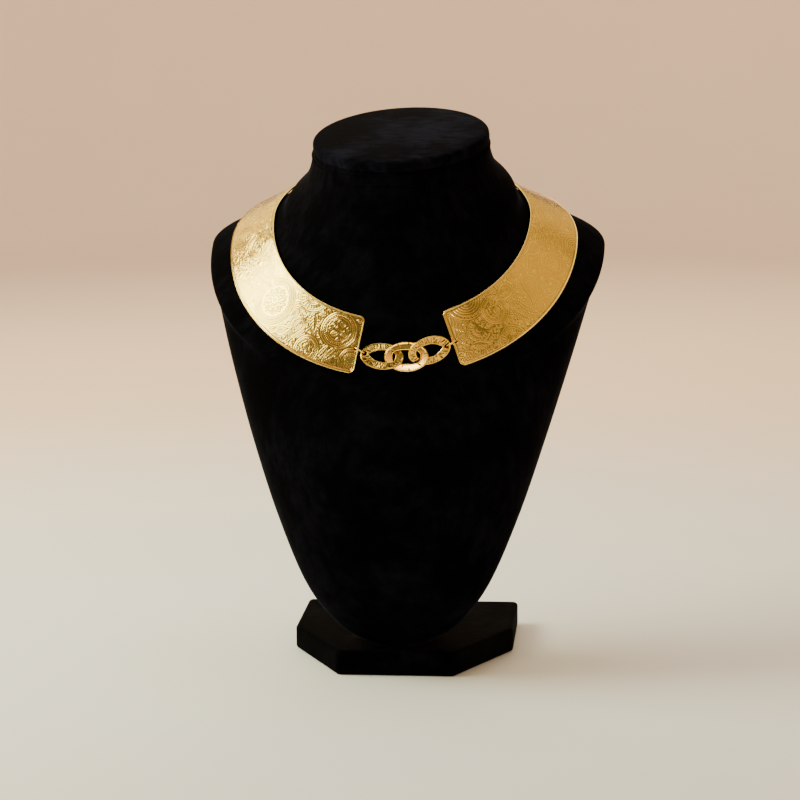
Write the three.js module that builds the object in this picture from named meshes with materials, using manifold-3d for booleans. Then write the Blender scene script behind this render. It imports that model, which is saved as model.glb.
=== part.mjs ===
// A collar choker necklace on its velvet neck bust, as a three.js scene.
// Millimetres, +Z up. The chest faces -Y and +X is to the right of someone looking at the chest.
// The origin is on the ground, under the middle of the foot.
import * as THREE from 'three';
import { mergeVertices } from 'three/addons/utils/BufferGeometryUtils.js';
import Module from 'manifold-3d';

const wasm = await Module();
wasm.setup();

// ---- Driving dimensions ------------------------------------------------------------------

const pieceGap = 0.3;

const foot = {
  height: 12.5,
  halfWidth: 56.5,
  halfDepth: 52,
  frontHalfWidth: 29,
  chamferEndY: -2.5,
  edgeRadius: 1.4,
};

// The necklace's inner edge is an oval in a plane that slopes down to the front.
const collar = {
  centre: new THREE.Vector3(0, 6, 225),
  tilt: degrees(36.5),
  halfWidth: 65,
  frontReach: 74,
  backReach: 47,
  drop: degrees(35),
  napeDrop: degrees(74),
  napeSharpness: 2,
  turn: degrees(5.2),
  openingHalfAngle: degrees(16.6),
};

const plate = {
  width: 29,
  thickness: 1,
  frontCornerRadius: 2.5,
  backCornerRadius: 6,
  backGap: 1.2,
  ringHoleRadius: 1.05,
  ringHoleInset: 1.6,
  ringHoleAcross: 16.2,
  columns: 44,
  rows: 10,
  rowSpread: 0.8,
  drillLength: 6,
  drillSides: 16,
};

const link = {
  halfLength: 10.8,
  halfHeight: 7.3,
  holeHalfLength: 6.8,
  holeHalfHeight: 3.3,
  thickness: 0.7,
  ringHoleRadius: 1.35,
  ringHoleInset: 2,
};

const jumpRing = {
  radius: 2.9,
  wireRadius: 0.4,
};

const clasp = {
  length: 18,
  height: 12,
  thickness: 1,
  studSpacing: 10,
  studRadius: 1.1,
  studHeadRadius: 2,
  studHeadThickness: 0.7,
  studHoleRadius: 1.5,
};

const cap = {
  halfWidth: 44.7,
  halfDepth: 41,
  thickness: 3.6,
  crown: 0.8,
  edgeRadius: 1.3,
  centre: new THREE.Vector3(0, 4, 266),
  tilt: degrees(16),
  roll: degrees(2.3),
};

// Each bust section is an oval, flatter or fuller by its exponent, in a plane that leans by tilt
// (front edge down) and by roll (right side up). The rows run from the tip to the top of the neck.
const sectionColumns = ['y', 'z', 'tilt', 'roll', 'halfWidth', 'front', 'back', 'exponent'];
const chestSections = [
  [-38.0, foot.height + pieceGap, 0, 0, 8, 6, 30, 2],
  [-38.0, 15.5, 1, 0, 17, 8, 34, 2],
  [-37.0, 24.0, 3, 0, 31, 13, 38, 2],
  [-35.5, 45.0, 10, 0, 46.5, 23, 39, 2],
  [-27.5, 80.0, 15, 0, 61.5, 39, 40, 2],
  [-15.5, 120.0, 20, 0, 75, 59, 45, 2],
  [2.0, 160.0, 25, 0, 87.5, 79, 49, 1.95],
  [19.0, 190.0, 29, 0, 96.5, 98, 51, 1.85],
  [36.0, 208.5, 31, 0, 102, 117, 38, 1.98],
];
const neckSections = [
  [4.0, 235.5, 33, 2.0, 57.5, 54, 43.5, 2],
  [4.4, 248.5, 23, 2.3, 47.8, 46.5, 39, 2],
  [5.1, 262.2, 16, 2.3, 43.9, 40.2, 40.2, 2],
];

// How far inside the collar's band the bust lies at the band's outer and inner edge.
const underOuterEdge = { side: 3.8, front: 3.8, back: 5.5 };
const underInnerEdge = { side: 1.4, front: 6.8, back: 1.5 };

const colour = {
  gold: 0xc9994a,
  paleGold: 0xd8b06a,
  velvet: 0x17151a,
};

// ---- Helpers -----------------------------------------------------------------------------

function degrees(value) {
  return THREE.MathUtils.degToRad(value);
}

function makeMesh(name, geometry, color, metalness, roughness) {
  const material = new THREE.MeshStandardMaterial({ color, metalness, roughness });
  const mesh = new THREE.Mesh(weld(geometry), material);
  mesh.name = name;
  return mesh;
}

function goldMesh(name, geometry, color = colour.gold) {
  return makeMesh(name, geometry, color, 1, 0.3);
}

function velvetMesh(name, geometry) {
  return makeMesh(name, geometry, colour.velvet, 0, 0.95);
}

// Merges the vertices that share a place, so that the mesh is one closed surface.
function weld(geometry) {
  geometry.deleteAttribute('normal');
  geometry.deleteAttribute('uv');
  return mergeVertices(geometry, 1e-4);
}

function toManifold(geometry) {
  const welded = weld(geometry);
  const vertProperties = new Float32Array(welded.attributes.position.array);
  const triVerts = new Uint32Array(welded.index.array);
  return new wasm.Manifold(new wasm.Mesh({ numProp: 3, vertProperties, triVerts }));
}

function toGeometry(manifold) {
  const result = manifold.getMesh();
  const geometry = new THREE.BufferGeometry();
  geometry.setAttribute('position', new THREE.BufferAttribute(result.vertProperties, 3));
  geometry.setIndex(new THREE.BufferAttribute(result.triVerts, 1));
  return geometry;
}

function subtract(geometry, cutters) {
  let solid = toManifold(geometry);
  for (const cutter of cutters) {
    solid = solid.subtract(toManifold(cutter));
  }
  return toGeometry(solid);
}

// Moves every vertex of a three.js geometry to where place(x, y, z) says.
function warp(geometry, place) {
  const position = geometry.attributes.position;
  for (let i = 0; i < position.count; i += 1) {
    const target = place(position.getX(i), position.getY(i), position.getZ(i));
    position.setXYZ(i, target.x, target.y, target.z);
  }
  return geometry;
}

// ---- The collar's band -------------------------------------------------------------------

// The band is the cone-like surface that both plates are bent to. angle runs round the neck from
// the middle of the chest towards +X, and across runs from the inner edge to the outer one.
// All of it is in the collar's own frame, whose z is square to the inner edge's plane.
function bandPoint(angle, across) {
  const sine = Math.sin(angle);
  const cosine = Math.cos(angle);
  const reach = cosine > 0 ? collar.frontReach : collar.backReach;
  const outward = new THREE.Vector3(reach * sine, -collar.halfWidth * cosine, 0).normalize();
  const nape = Math.max(0, -cosine) ** collar.napeSharpness;
  const drop = THREE.MathUtils.lerp(collar.drop, collar.napeDrop, nape);
  const edge = new THREE.Vector3(collar.halfWidth * sine, -reach * cosine, 0);
  const ruling = outward.multiplyScalar(Math.cos(drop)).setZ(-Math.sin(drop));
  return edge.addScaledVector(ruling, across);
}

// The band's directions at a place on it: along it, up it towards the inner edge, and out of it.
function bandFrame(angle, across) {
  const step = 1e-3;
  const along = bandPoint(angle + step, across).sub(bandPoint(angle - step, across));
  const speed = along.length() / (2 * step);
  along.normalize();
  const up = bandPoint(angle, across - 1).sub(bandPoint(angle, across));
  up.addScaledVector(along, -up.dot(along)).normalize();
  const out = new THREE.Vector3().crossVectors(along, up);
  return { point: bandPoint(angle, across), along, up, out, speed };
}

// Sets a mesh on the band with its x along the band, its y up the band and its z out of it.
function setOnBand(mesh, angle, across, lift) {
  const { point, along, up, out } = bandFrame(angle, across);
  mesh.position.copy(point).addScaledVector(out, lift);
  mesh.quaternion.setFromRotationMatrix(new THREE.Matrix4().makeBasis(along, up, out));
  return mesh;
}

// A round cutter that goes straight through the band.
function bandDrill(angle, across, radius) {
  const cutter = new THREE.CylinderGeometry(radius, radius, plate.drillLength, plate.drillSides);
  cutter.rotateX(Math.PI / 2);
  const holder = setOnBand(new THREE.Object3D(), angle, across, 0);
  holder.updateMatrix();
  return cutter.applyMatrix4(holder.matrix);
}

// ---- Plates ------------------------------------------------------------------------------

// The back ends meet, and the clasp lies, opposite the middle of the front opening.
const claspAngle = collar.turn + Math.PI;

// How far a rounded corner draws the end back, at a distance from the long edge.
function cornerInset(distance, radius) {
  const reach = Math.max(0, radius - distance);
  return radius - Math.sqrt(radius * radius - reach * reach);
}

// Spreads the rows so that they lie closer together near both long edges.
function plateAcross(fraction) {
  const fullTurn = 2 * Math.PI;
  return plate.width * (fraction - plate.rowSpread * Math.sin(fullTurn * fraction) / fullTurn);
}

// Where the jump ring's hole is, a little in from a plate's front end.
function ringHoleAngle(frontAngle, side) {
  return frontAngle + side * plate.ringHoleInset / bandFrame(frontAngle, plate.ringHoleAcross).speed;
}

// One bent plate, from its front end by the opening to its back end at the nape.
function makePlateGeometry(frontAngle, backAngle) {
  const side = Math.sign(backAngle - frontAngle);
  const flat = new THREE.BoxGeometry(1, 1, 1, plate.columns, plate.rows, 1);
  const bent = warp(flat, (x, y, z) => {
    const across = plateAcross(0.5 - y);
    const nearestEdge = Math.min(across, plate.width - across);
    const frontInset = cornerInset(nearestEdge, plate.frontCornerRadius);
    const backInset = cornerInset(nearestEdge, plate.backCornerRadius);
    const front = frontAngle + side * frontInset / bandFrame(frontAngle, across).speed;
    const back = backAngle - side * backInset / bandFrame(backAngle, across).speed;
    const start = side > 0 ? front : back;
    const end = side > 0 ? back : front;
    const frame = bandFrame(THREE.MathUtils.lerp(start, end, x + 0.5), across);
    return frame.point.addScaledVector(frame.out, z * plate.thickness);
  });
  const claspSpeed = bandFrame(claspAngle, plate.width / 2).speed;
  const studHole = claspAngle - side * clasp.studSpacing / 2 / claspSpeed;
  return subtract(bent, [
    bandDrill(ringHoleAngle(frontAngle, side), plate.ringHoleAcross, plate.ringHoleRadius),
    bandDrill(studHole, plate.width / 2, clasp.studHoleRadius),
  ]);
}

const plateBackHalfGap = plate.backGap / 2 / bandFrame(claspAngle, plate.width / 2).speed;
const leftFrontAngle = collar.turn - collar.openingHalfAngle;
const rightFrontAngle = collar.turn + collar.openingHalfAngle;

const leftPlate = goldMesh('left_plate',
  makePlateGeometry(leftFrontAngle, claspAngle - 2 * Math.PI + plateBackHalfGap));
const rightPlate = goldMesh('right_plate',
  makePlateGeometry(rightFrontAngle, claspAngle - plateBackHalfGap));

// ---- Links -------------------------------------------------------------------------------

// Half of a link's opening, round its end on one side. The end is pointed beside a jump ring, and
// full where the next link passes through it.
function addOpeningEnd(path, side, pointed) {
  const x = side * link.holeHalfLength;
  const y = side * link.holeHalfHeight;
  if (pointed) {
    path.quadraticCurveTo(0.5 * x, -y, x, 0);
    path.quadraticCurveTo(0.5 * x, y, 0, y);
  } else {
    path.bezierCurveTo(0.75 * x, -y, x, -0.8 * y, x, 0);
    path.bezierCurveTo(x, 0.8 * y, 0.75 * x, y, 0, y);
  }
}

// A flat oval link. ringSide is -1 or 1 where a jump ring's hole is drilled in that end, and 0
// for a link without one.
function makeLinkGeometry(ringSide) {
  const outline = new THREE.Shape();
  outline.absellipse(0, 0, link.halfLength, link.halfHeight, 0, 2 * Math.PI, false);
  const opening = new THREE.Path();
  opening.moveTo(0, -link.holeHalfHeight);
  addOpeningEnd(opening, 1, ringSide === 1);
  addOpeningEnd(opening, -1, ringSide === -1);
  outline.holes.push(opening);
  if (ringSide !== 0) {
    const ringHole = new THREE.Path();
    const ringHoleX = ringSide * (link.halfLength - link.ringHoleInset);
    ringHole.absarc(ringHoleX, 0, link.ringHoleRadius, 0, 2 * Math.PI, true);
    outline.holes.push(ringHole);
  }
  const geometry = new THREE.ExtrudeGeometry(outline, {
    depth: link.thickness,
    bevelEnabled: false,
    curveSegments: 8,
  });
  return geometry.translate(0, 0, -link.thickness / 2);
}

// In degrees: slope turns a link in its own plane, yaw turns its right end inwards, and lean turns
// its upper half outwards. Each link leans more than the one to its left, so the two interlock.
const linkTable = [
  { name: 'left_link', ringSide: -1, angle: -2.8, across: 18.9, lift: 2.1, slope: -7, yaw: -5.5, lean: -20 },
  { name: 'middle_link', ringSide: 0, angle: 5.3, across: 19.5, lift: 2.5, slope: -4, yaw: 0, lean: 8 },
  { name: 'right_link', ringSide: 1, angle: 13.2, across: 17.9, lift: 2.5, slope: 5.7, yaw: 4.2, lean: 33.5 },
];

const links = linkTable.map((row) => {
  const mesh = goldMesh(row.name, makeLinkGeometry(row.ringSide), colour.paleGold);
  setOnBand(mesh, degrees(row.angle), row.across, row.lift);
  mesh.rotateZ(degrees(row.slope));
  mesh.rotateY(degrees(row.yaw));
  mesh.rotateX(degrees(row.lean));
  return mesh;
});

// ---- Jump rings --------------------------------------------------------------------------

// Each ring stands on edge and goes through the hole in a plate's end and the one in a link's end.
function makeJumpRing(name, frontAngle, side, linkMesh) {
  const holeAngle = ringHoleAngle(frontAngle, side);
  const { point: plateHole, out } = bandFrame(holeAngle, plate.ringHoleAcross);
  linkMesh.updateMatrix();
  const linkHole = new THREE.Vector3(side * (link.halfLength - link.ringHoleInset), 0, 0);
  linkHole.applyMatrix4(linkMesh.matrix);
  const along = linkHole.clone().sub(plateHole).normalize();
  const up = new THREE.Vector3().crossVectors(out, along).normalize();
  const torus = new THREE.TorusGeometry(jumpRing.radius, jumpRing.wireRadius, 6, 18);
  const mesh = goldMesh(name, torus, colour.paleGold);
  mesh.position.addVectors(plateHole, linkHole).multiplyScalar(0.5);
  mesh.quaternion.setFromUnitVectors(new THREE.Vector3(0, 0, 1), up);
  return mesh;
}

const jumpRings = [
  makeJumpRing('left_jump_ring', leftFrontAngle, -1, links[0]),
  makeJumpRing('right_jump_ring', rightFrontAngle, 1, links[2]),
];

// ---- Back clasp --------------------------------------------------------------------------

// A plain strap across the outside of both back ends, with two headed studs through them.
function makeClaspGeometry() {
  const halfLength = clasp.length / 2 - clasp.height / 2;
  const outline = new THREE.Shape();
  outline.absarc(halfLength, 0, clasp.height / 2, -Math.PI / 2, Math.PI / 2, false);
  outline.absarc(-halfLength, 0, clasp.height / 2, Math.PI / 2, 3 * Math.PI / 2, false);
  const strap = new THREE.ExtrudeGeometry(outline, {
    depth: clasp.thickness,
    bevelEnabled: false,
    curveSegments: 10,
  });
  const strapBase = plate.thickness / 2 + pieceGap;
  const headBase = plate.thickness / 2 + 2 * pieceGap;
  let solid = toManifold(strap.translate(0, 0, strapBase));
  for (const side of [-1, 1]) {
    const studLength = strapBase + headBase + clasp.thickness;
    const stud = new THREE.CylinderGeometry(clasp.studRadius, clasp.studRadius, studLength, 20);
    const head = new THREE.CylinderGeometry(
      clasp.studHeadRadius, clasp.studHeadRadius, clasp.studHeadThickness, 20);
    const x = side * clasp.studSpacing / 2;
    stud.rotateX(Math.PI / 2).translate(x, 0, strapBase + clasp.thickness / 2 - studLength / 2);
    head.rotateX(Math.PI / 2).translate(x, 0, -headBase - clasp.studHeadThickness / 2);
    solid = solid.add(toManifold(stud)).add(toManifold(head));
  }
  return toGeometry(solid);
}

const backClasp = goldMesh('back_clasp', makeClaspGeometry());
setOnBand(backClasp, claspAngle, plate.width / 2, 0);

// ---- Bust --------------------------------------------------------------------------------

// Where the collar lies, the bust follows the band's two edges a little inside them.
function bandSection(across, inset) {
  const frontDrop = across * Math.sin(collar.drop);
  const widening = across * Math.cos(collar.drop);
  return [
    collar.centre.y + frontDrop * Math.sin(collar.tilt),
    collar.centre.z - frontDrop * Math.cos(collar.tilt),
    THREE.MathUtils.radToDeg(collar.tilt),
    0,
    collar.halfWidth + widening - inset.side,
    collar.frontReach + widening - inset.front,
    collar.backReach + across * Math.cos(collar.napeDrop) - inset.back,
    2,
  ];
}

function makeBustGeometry() {
  const rows = [
    ...chestSections,
    bandSection(plate.width, underOuterEdge),
    bandSection(0, underInnerEdge),
    ...neckSections,
  ];
  const positions = rows.map((_, index) => index);
  const sections = new THREE.CubicInterpolant(positions, rows.flat(), sectionColumns.length);
  const last = rows.length - 1;
  const tube = new THREE.CylinderGeometry(1, 1, 1, 44, 2 * last);
  return warp(tube, (x, y, z) => {
    const values = sections.evaluate((y + 0.5) * last);
    const [centreY, centreZ, tilt, roll, halfWidth, front, back, exponent] = values;
    const side = halfWidth * Math.sign(x) * Math.abs(x) ** (2 / exponent);
    const depth = (z > 0 ? -front : back) * Math.abs(z) ** (2 / exponent);
    return new THREE.Vector3(
      side * Math.cos(degrees(roll)),
      centreY + depth * Math.cos(degrees(tilt)),
      centreZ + depth * Math.sin(degrees(tilt)) + side * Math.sin(degrees(roll)),
    );
  });
}

const bustForm = velvetMesh('bust_form', makeBustGeometry());

// The moulded disc that closes the top of the neck, with a rounded edge and a slight crown.
function makeCapGeometry() {
  const rim = cap.halfWidth;
  const radius = cap.edgeRadius;
  const profile = new THREE.Path();
  profile.moveTo(0, 0);
  profile.lineTo(rim - radius, 0);
  profile.absarc(rim - radius, radius, radius, -Math.PI / 2, 0, false);
  profile.absarc(rim - radius, cap.thickness - radius, radius, 0, Math.PI / 2, false);
  profile.quadraticCurveTo(rim / 2, cap.thickness + cap.crown, 0, cap.thickness + cap.crown);
  const points = profile.getPoints(3);
  points[points.length - 1].x = 0;
  const disc = new THREE.LatheGeometry(points, 32).rotateX(Math.PI / 2);
  return disc.scale(1, cap.halfDepth / cap.halfWidth, 1);
}

const neckCap = velvetMesh('neck_cap', makeCapGeometry());
neckCap.rotation.set(cap.tilt, -cap.roll, 0);
neckCap.position.copy(cap.centre);
neckCap.translateZ(-cap.thickness);

// ---- Foot --------------------------------------------------------------------------------

// A flat block with a square back and a front narrowed by two chamfers, its edges softened.
function makeFootGeometry() {
  const inset = foot.edgeRadius;
  const outline = new THREE.Shape();
  outline.moveTo(-foot.frontHalfWidth, -foot.halfDepth + inset);
  outline.lineTo(foot.frontHalfWidth, -foot.halfDepth + inset);
  outline.lineTo(foot.halfWidth - inset, foot.chamferEndY);
  outline.lineTo(foot.halfWidth - inset, foot.halfDepth - inset);
  outline.lineTo(-foot.halfWidth + inset, foot.halfDepth - inset);
  outline.lineTo(-foot.halfWidth + inset, foot.chamferEndY);
  outline.closePath();
  const block = new THREE.ExtrudeGeometry(outline, {
    depth: foot.height - 2 * foot.edgeRadius,
    bevelThickness: foot.edgeRadius,
    bevelSize: foot.edgeRadius,
    bevelSegments: 4,
  });
  return block.translate(0, 0, foot.edgeRadius);
}

const bustFoot = velvetMesh('bust_foot', makeFootGeometry());

// ---- Assembly ----------------------------------------------------------------------------

const necklace = new THREE.Group();
necklace.position.copy(collar.centre);
necklace.rotation.x = collar.tilt;
necklace.add(leftPlate, rightPlate, ...links, ...jumpRings, backClasp);

const bust = new THREE.Group();
bust.add(bustForm, neckCap, bustFoot);

const display = new THREE.Group();
display.add(bust, necklace);

export default display;
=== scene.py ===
# %% [markdown]
# # A collar choker necklace on its neck bust
#
# The necklace is a stiff collar: two bent plates of embossed, gold-plated brass, joined at the
# front by three flat oval links that hang from two small wire rings. It sits on a velvet-covered
# neck bust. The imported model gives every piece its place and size, and this notebook gives each
# one its fine shape and its finish. Lengths are millimetres until a mesh is made. The camera, the
# sweep and the lamps are placed in metres.

# %% Load the frame
import math
import bmesh
import bpy
import numpy as np
from mathutils import Matrix, Vector


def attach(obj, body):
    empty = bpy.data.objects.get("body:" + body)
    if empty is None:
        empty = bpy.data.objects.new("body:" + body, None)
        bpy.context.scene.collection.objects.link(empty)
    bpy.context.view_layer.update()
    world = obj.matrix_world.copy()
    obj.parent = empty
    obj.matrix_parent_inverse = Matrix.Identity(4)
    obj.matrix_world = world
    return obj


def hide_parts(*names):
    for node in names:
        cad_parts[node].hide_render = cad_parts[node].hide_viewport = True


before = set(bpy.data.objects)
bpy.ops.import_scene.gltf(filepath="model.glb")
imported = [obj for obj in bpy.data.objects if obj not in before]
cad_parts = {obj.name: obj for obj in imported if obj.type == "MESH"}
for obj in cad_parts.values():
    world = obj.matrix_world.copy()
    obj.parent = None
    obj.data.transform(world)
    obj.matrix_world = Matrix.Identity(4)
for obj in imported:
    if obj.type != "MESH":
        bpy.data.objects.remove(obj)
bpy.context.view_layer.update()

MM = 0.001
print("nodes:", sorted(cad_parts))

# %% [markdown]
# ## The camera
#
# A product picture of jewellery is taken with a long lens from a little above, so that the piece
# keeps its proportions. Here the lens is 114 mm on a 36 mm sensor, 1.3 m away, ten degrees up and
# five degrees round to the right. The camera leans by half a degree, as a hand-levelled one does.

# %% Make the camera
def camera_matrix(azimuth, elevation, roll, target, distance):
    """A camera's matrix. Azimuth 0 looks along +Y and grows towards +X; roll is clockwise."""
    a, e = math.radians(azimuth), math.radians(elevation)
    back = Vector((math.sin(a) * math.cos(e), -math.cos(a) * math.cos(e), math.sin(e)))
    right = Vector((math.cos(a), math.sin(a), 0))
    turn = Matrix.Rotation(math.radians(-roll), 3, back)
    right, up = turn @ right, turn @ back.cross(right)
    basis = Matrix((right, up, back)).transposed().to_4x4()
    return Matrix.Translation(Vector(target) + back * distance) @ basis


camera_data = bpy.data.cameras.new("camera")
camera_data.lens = 114.3
camera_data.sensor_width = 36
camera = bpy.data.objects.new("camera", camera_data)
camera.matrix_world = camera_matrix(5.4, 10.1, 0.55, (-0.0013, 0, 0.1312), 1.3)
bpy.context.scene.collection.objects.link(camera)
bpy.context.scene.camera = camera
print("camera at", [round(x, 3) for x in camera.matrix_world.translation])

# %% [markdown]
# ## A few small tools
#
# Colours are given as sRGB hex, as a paint chart gives them, and one function turns them linear.
# One function adds a node, sets it and links it. One function makes a mesh object from arrays of
# points and faces, sets it to ride on the frame, and hides the CAD node it stands for. Nearly
# every surface here is a grid of points, so two short helpers number a grid's quads and close it.

# %% Colours and nodes
def linear(hex_colour):
    """Linear RGBA of an sRGB hex colour such as "#C9994A"."""
    parts = [int(hex_colour[i:i + 2], 16) / 255 for i in (1, 3, 5)]
    return (*[p / 12.92 if p <= 0.04045 else ((p + 0.055) / 1.055) ** 2.4 for p in parts], 1)


def add(tree, kind, inputs=None, **settings):
    """Adds a node. A setting is one of its properties; an input is a value or a socket to link."""
    node = tree.nodes.new(kind)
    for name, value in settings.items():
        setattr(node, name, value)
    for name, value in (inputs or {}).items():
        if isinstance(value, bpy.types.NodeSocket):
            tree.links.new(value, node.inputs[name])
        else:
            node.inputs[name].default_value = value
    return node


print("gold leaf #D4AF37 in linear light:", [round(c, 3) for c in linear("#D4AF37")[:3]])


# %% Mesh objects
def make_piece(name, points, faces, material, node):
    """A smooth mesh object from points in millimetres, which stands for one node of the frame."""
    mesh = bpy.data.meshes.new(name)
    mesh.from_pydata((np.asarray(points) * MM).tolist(), [], faces)
    mesh.validate()
    mesh.polygons.foreach_set("use_smooth", [True] * len(mesh.polygons))
    mesh.materials.append(material)
    piece = bpy.data.objects.new(name, mesh)
    bpy.context.scene.collection.objects.link(piece)
    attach(piece, "root")
    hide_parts(node)
    print(f"{name}: {len(mesh.vertices)} points, {len(mesh.polygons)} faces")
    return piece


def grid_faces(ids):
    """Quads between the neighbours of a two-dimensional array of point numbers."""
    quads = np.stack([ids[:-1, :-1], ids[1:, :-1], ids[1:, 1:], ids[:-1, 1:]], axis=-1)
    return quads.reshape(-1, 4).tolist()


def closed(ids, axis=1):
    """The same point numbers with the first row or column again at the end."""
    return np.concatenate([ids, ids.take([0], axis=axis)], axis=axis)


print("a closed band of 3 by 8 points has", len(grid_faces(closed(np.arange(24).reshape(3, 8)))), "quads")


# %% [markdown]
# ## The band that both plates are bent to
#
# A stiff collar is cut flat from sheet and bent round a form, so it is close to a cone: straight
# across its width and curved along its length. Its inner edge is an oval in a plane that slopes
# down to the front. At the nape the sheet stands steeper, because a neck is steeper there. Each
# place on the band is named by the angle round the neck and the distance across from the inner
# edge. These are the frame's own dimensions, so the fine plates fall exactly where its plates are.

# %% The band as a function
COLLAR_CENTRE = np.array([0, 6, 225])
COLLAR_TILT = math.radians(36.5)
COLLAR_HALF_WIDTH = 65
FRONT_REACH = 74
BACK_REACH = 47
FRONT_DROP = math.radians(35)
NAPE_DROP = math.radians(74)
NAPE_SHARPNESS = 2
COLLAR_TURN = math.radians(5.2)
OPENING_HALF_ANGLE = math.radians(16.6)
PLATE_WIDTH = 29
PLATE_THICKNESS = 1


def collar_to_world(points):
    """Turns points from the collar's own plane into the shared frame."""
    x, y, z = np.moveaxis(points, -1, 0)
    c, s = math.cos(COLLAR_TILT), math.sin(COLLAR_TILT)
    return np.stack([x, y * c - z * s, y * s + z * c], axis=-1) + COLLAR_CENTRE


def band_point(angle, across):
    """A place on the band, at an angle round the neck and a distance across from the inner edge."""
    angle, across = np.broadcast_arrays(np.asarray(angle, float), np.asarray(across, float))
    sine, cosine = np.sin(angle), np.cos(angle)
    reach = np.where(cosine > 0, FRONT_REACH, BACK_REACH)
    outward = np.stack([reach * sine, -COLLAR_HALF_WIDTH * cosine], axis=-1)
    outward /= np.linalg.norm(outward, axis=-1, keepdims=True)
    drop = FRONT_DROP + (NAPE_DROP - FRONT_DROP) * np.maximum(0, -cosine) ** NAPE_SHARPNESS
    out = across * np.cos(drop)
    return collar_to_world(np.stack([
        COLLAR_HALF_WIDTH * sine + outward[..., 0] * out,
        -reach * cosine + outward[..., 1] * out,
        -across * np.sin(drop)], axis=-1))


def band_frame(angle, across):
    """The point, the directions along, up and out of the band, and the millimetres per radian."""
    step = 1e-3
    along = band_point(angle + step, across) - band_point(angle - step, across)
    speed = np.linalg.norm(along, axis=-1, keepdims=True)
    along = along / speed
    up = band_point(angle, across - 1) - band_point(angle, across)
    up = up - along * np.sum(up * along, axis=-1, keepdims=True)
    up = up / np.linalg.norm(up, axis=-1, keepdims=True)
    return band_point(angle, across), along, up, np.cross(along, up), speed[..., 0] / (2 * step)


inner_edge = band_point(np.linspace(0, 2 * math.pi, 721), 0)
edge_length = np.linalg.norm(np.diff(inner_edge, axis=0), axis=1).sum()
print(f"the collar's inner edge is {edge_length:.0f} mm round")

# %% [markdown]
# ## The embossing die
#
# Embossed sheet is pressed between a die, which carries the pattern, and a soft bed. The raised
# lines are round on top and about 0.5 mm wide. So the die is made first, as a height map with a
# point every 0.08 mm: every line of the pattern is a row of small round dabs, and where two dabs
# meet the higher one wins. The sheet then takes its height from the die. A modelled relief like
# this catches the light from every side, which a painted one doesn't.

# %% Press dabs into the die
DIE_STEP = 0.08
LINE = 0.25
RELIEF = 0.14
# Along its inner edge the bent sheet is shorter than along its middle, but never under this share.
SMALLEST_STRETCH = 0.74


class Die:
    """The height map of one plate, from its front end and from its inner edge."""

    def __init__(self, length, stretch):
        self.height = np.zeros((round(length / DIE_STEP) + 1, round(PLATE_WIDTH / DIE_STEP) + 1))
        self.free = np.ones(self.height.shape, bool)
        self.stretch = stretch

    def press(self, dabs):
        """Raises the sheet in round dabs. The rows hold along, across, radius and height."""
        along, across, radius, height = np.asarray(dabs, float).T
        reach = math.ceil(radius.max() / DIE_STEP / SMALLEST_STRETCH) + 1
        steps = np.arange(-reach, reach + 1)
        i = np.rint(along / DIE_STEP).astype(int)[:, None, None] + steps[None, :, None]
        j = np.rint(across / DIE_STEP).astype(int)[:, None, None] + steps[None, None, :]
        i, j = np.broadcast_arrays(i, j)
        inside = (i >= 0) & (i < self.height.shape[0]) & (j >= 0) & (j < self.height.shape[1])
        scale = np.interp(j * DIE_STEP, (0, PLATE_WIDTH), self.stretch)
        dx = (i * DIE_STEP - along[:, None, None]) * scale
        dy = j * DIE_STEP - across[:, None, None]
        share = 1 - (dx * dx + dy * dy) / (radius * radius)[:, None, None]
        inside &= share > 0
        value = np.sqrt(np.maximum(share, 0)) * height[:, None, None]
        np.maximum.at(self.height, (i[inside], j[inside]), value[inside])

    def clear(self, outline, leave_free=False):
        """Smooths the sheet inside a closed outline, and takes that area or leaves it free."""
        low = np.floor(outline.min(0) / DIE_STEP).astype(int).clip(0)
        high = np.ceil(outline.max(0) / DIE_STEP).astype(int) + 1
        area = (slice(low[0], high[0]), slice(low[1], high[1]))
        rows, columns = self.height[area].shape
        x = (low[0] + np.arange(rows))[:, None] * DIE_STEP
        y = (low[1] + np.arange(columns))[None, :] * DIE_STEP
        odd = np.zeros((rows, columns), bool)
        for (x0, y0), (x1, y1) in zip(outline, np.roll(outline, -1, axis=0)):
            if y0 != y1:
                odd ^= ((y0 > y) != (y1 > y)) & (x < (x1 - x0) * (y - y0) / (y1 - y0) + x0)
        self.height[area][odd] = 0
        self.free[area][odd] = leave_free

    def echo(self, distances, width, height):
        """Draws lines that follow every shape at set distances, over the ground still free.

        The ground taken grows by a step a ring, and by one more along the plate in two rings of
        five, so the lines lie a little further out along the plate than across it.
        """
        taken = ~self.free
        away = np.where(taken, 0, np.inf)
        for ring in range(1, round(max(distances) / DIE_STEP) + 6):
            grown = taken.copy()
            for axis in (0, 1):
                grown |= np.roll(taken, 1, axis) | np.roll(taken, -1, axis)
            if ring % 5 < 2:
                grown |= np.roll(grown, 1, 0) | np.roll(grown, -1, 0)
            away[grown & ~taken] = ring * DIE_STEP
            taken = grown
        for distance in distances:
            share = 1 - ((away - distance) / width) ** 2
            ridge = np.sqrt(np.maximum(share, 0)) * height
            self.height = np.maximum(self.height, np.where(self.free, ridge, 0))

    def at(self, along, across):
        """The height between the die's points."""
        i = np.clip(along / DIE_STEP, 0, self.height.shape[0] - 1.001)
        j = np.clip(across / DIE_STEP, 0, self.height.shape[1] - 1.001)
        i0, j0 = i.astype(int), j.astype(int)
        u, v = i - i0, j - j0
        h = self.height
        return ((h[i0, j0] * (1 - u) + h[i0 + 1, j0] * u) * (1 - v)
                + (h[i0, j0 + 1] * (1 - u) + h[i0 + 1, j0 + 1] * u) * v)


print("a die 10 mm long has", Die(10, (1, 1)).height.size, "points")

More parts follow.
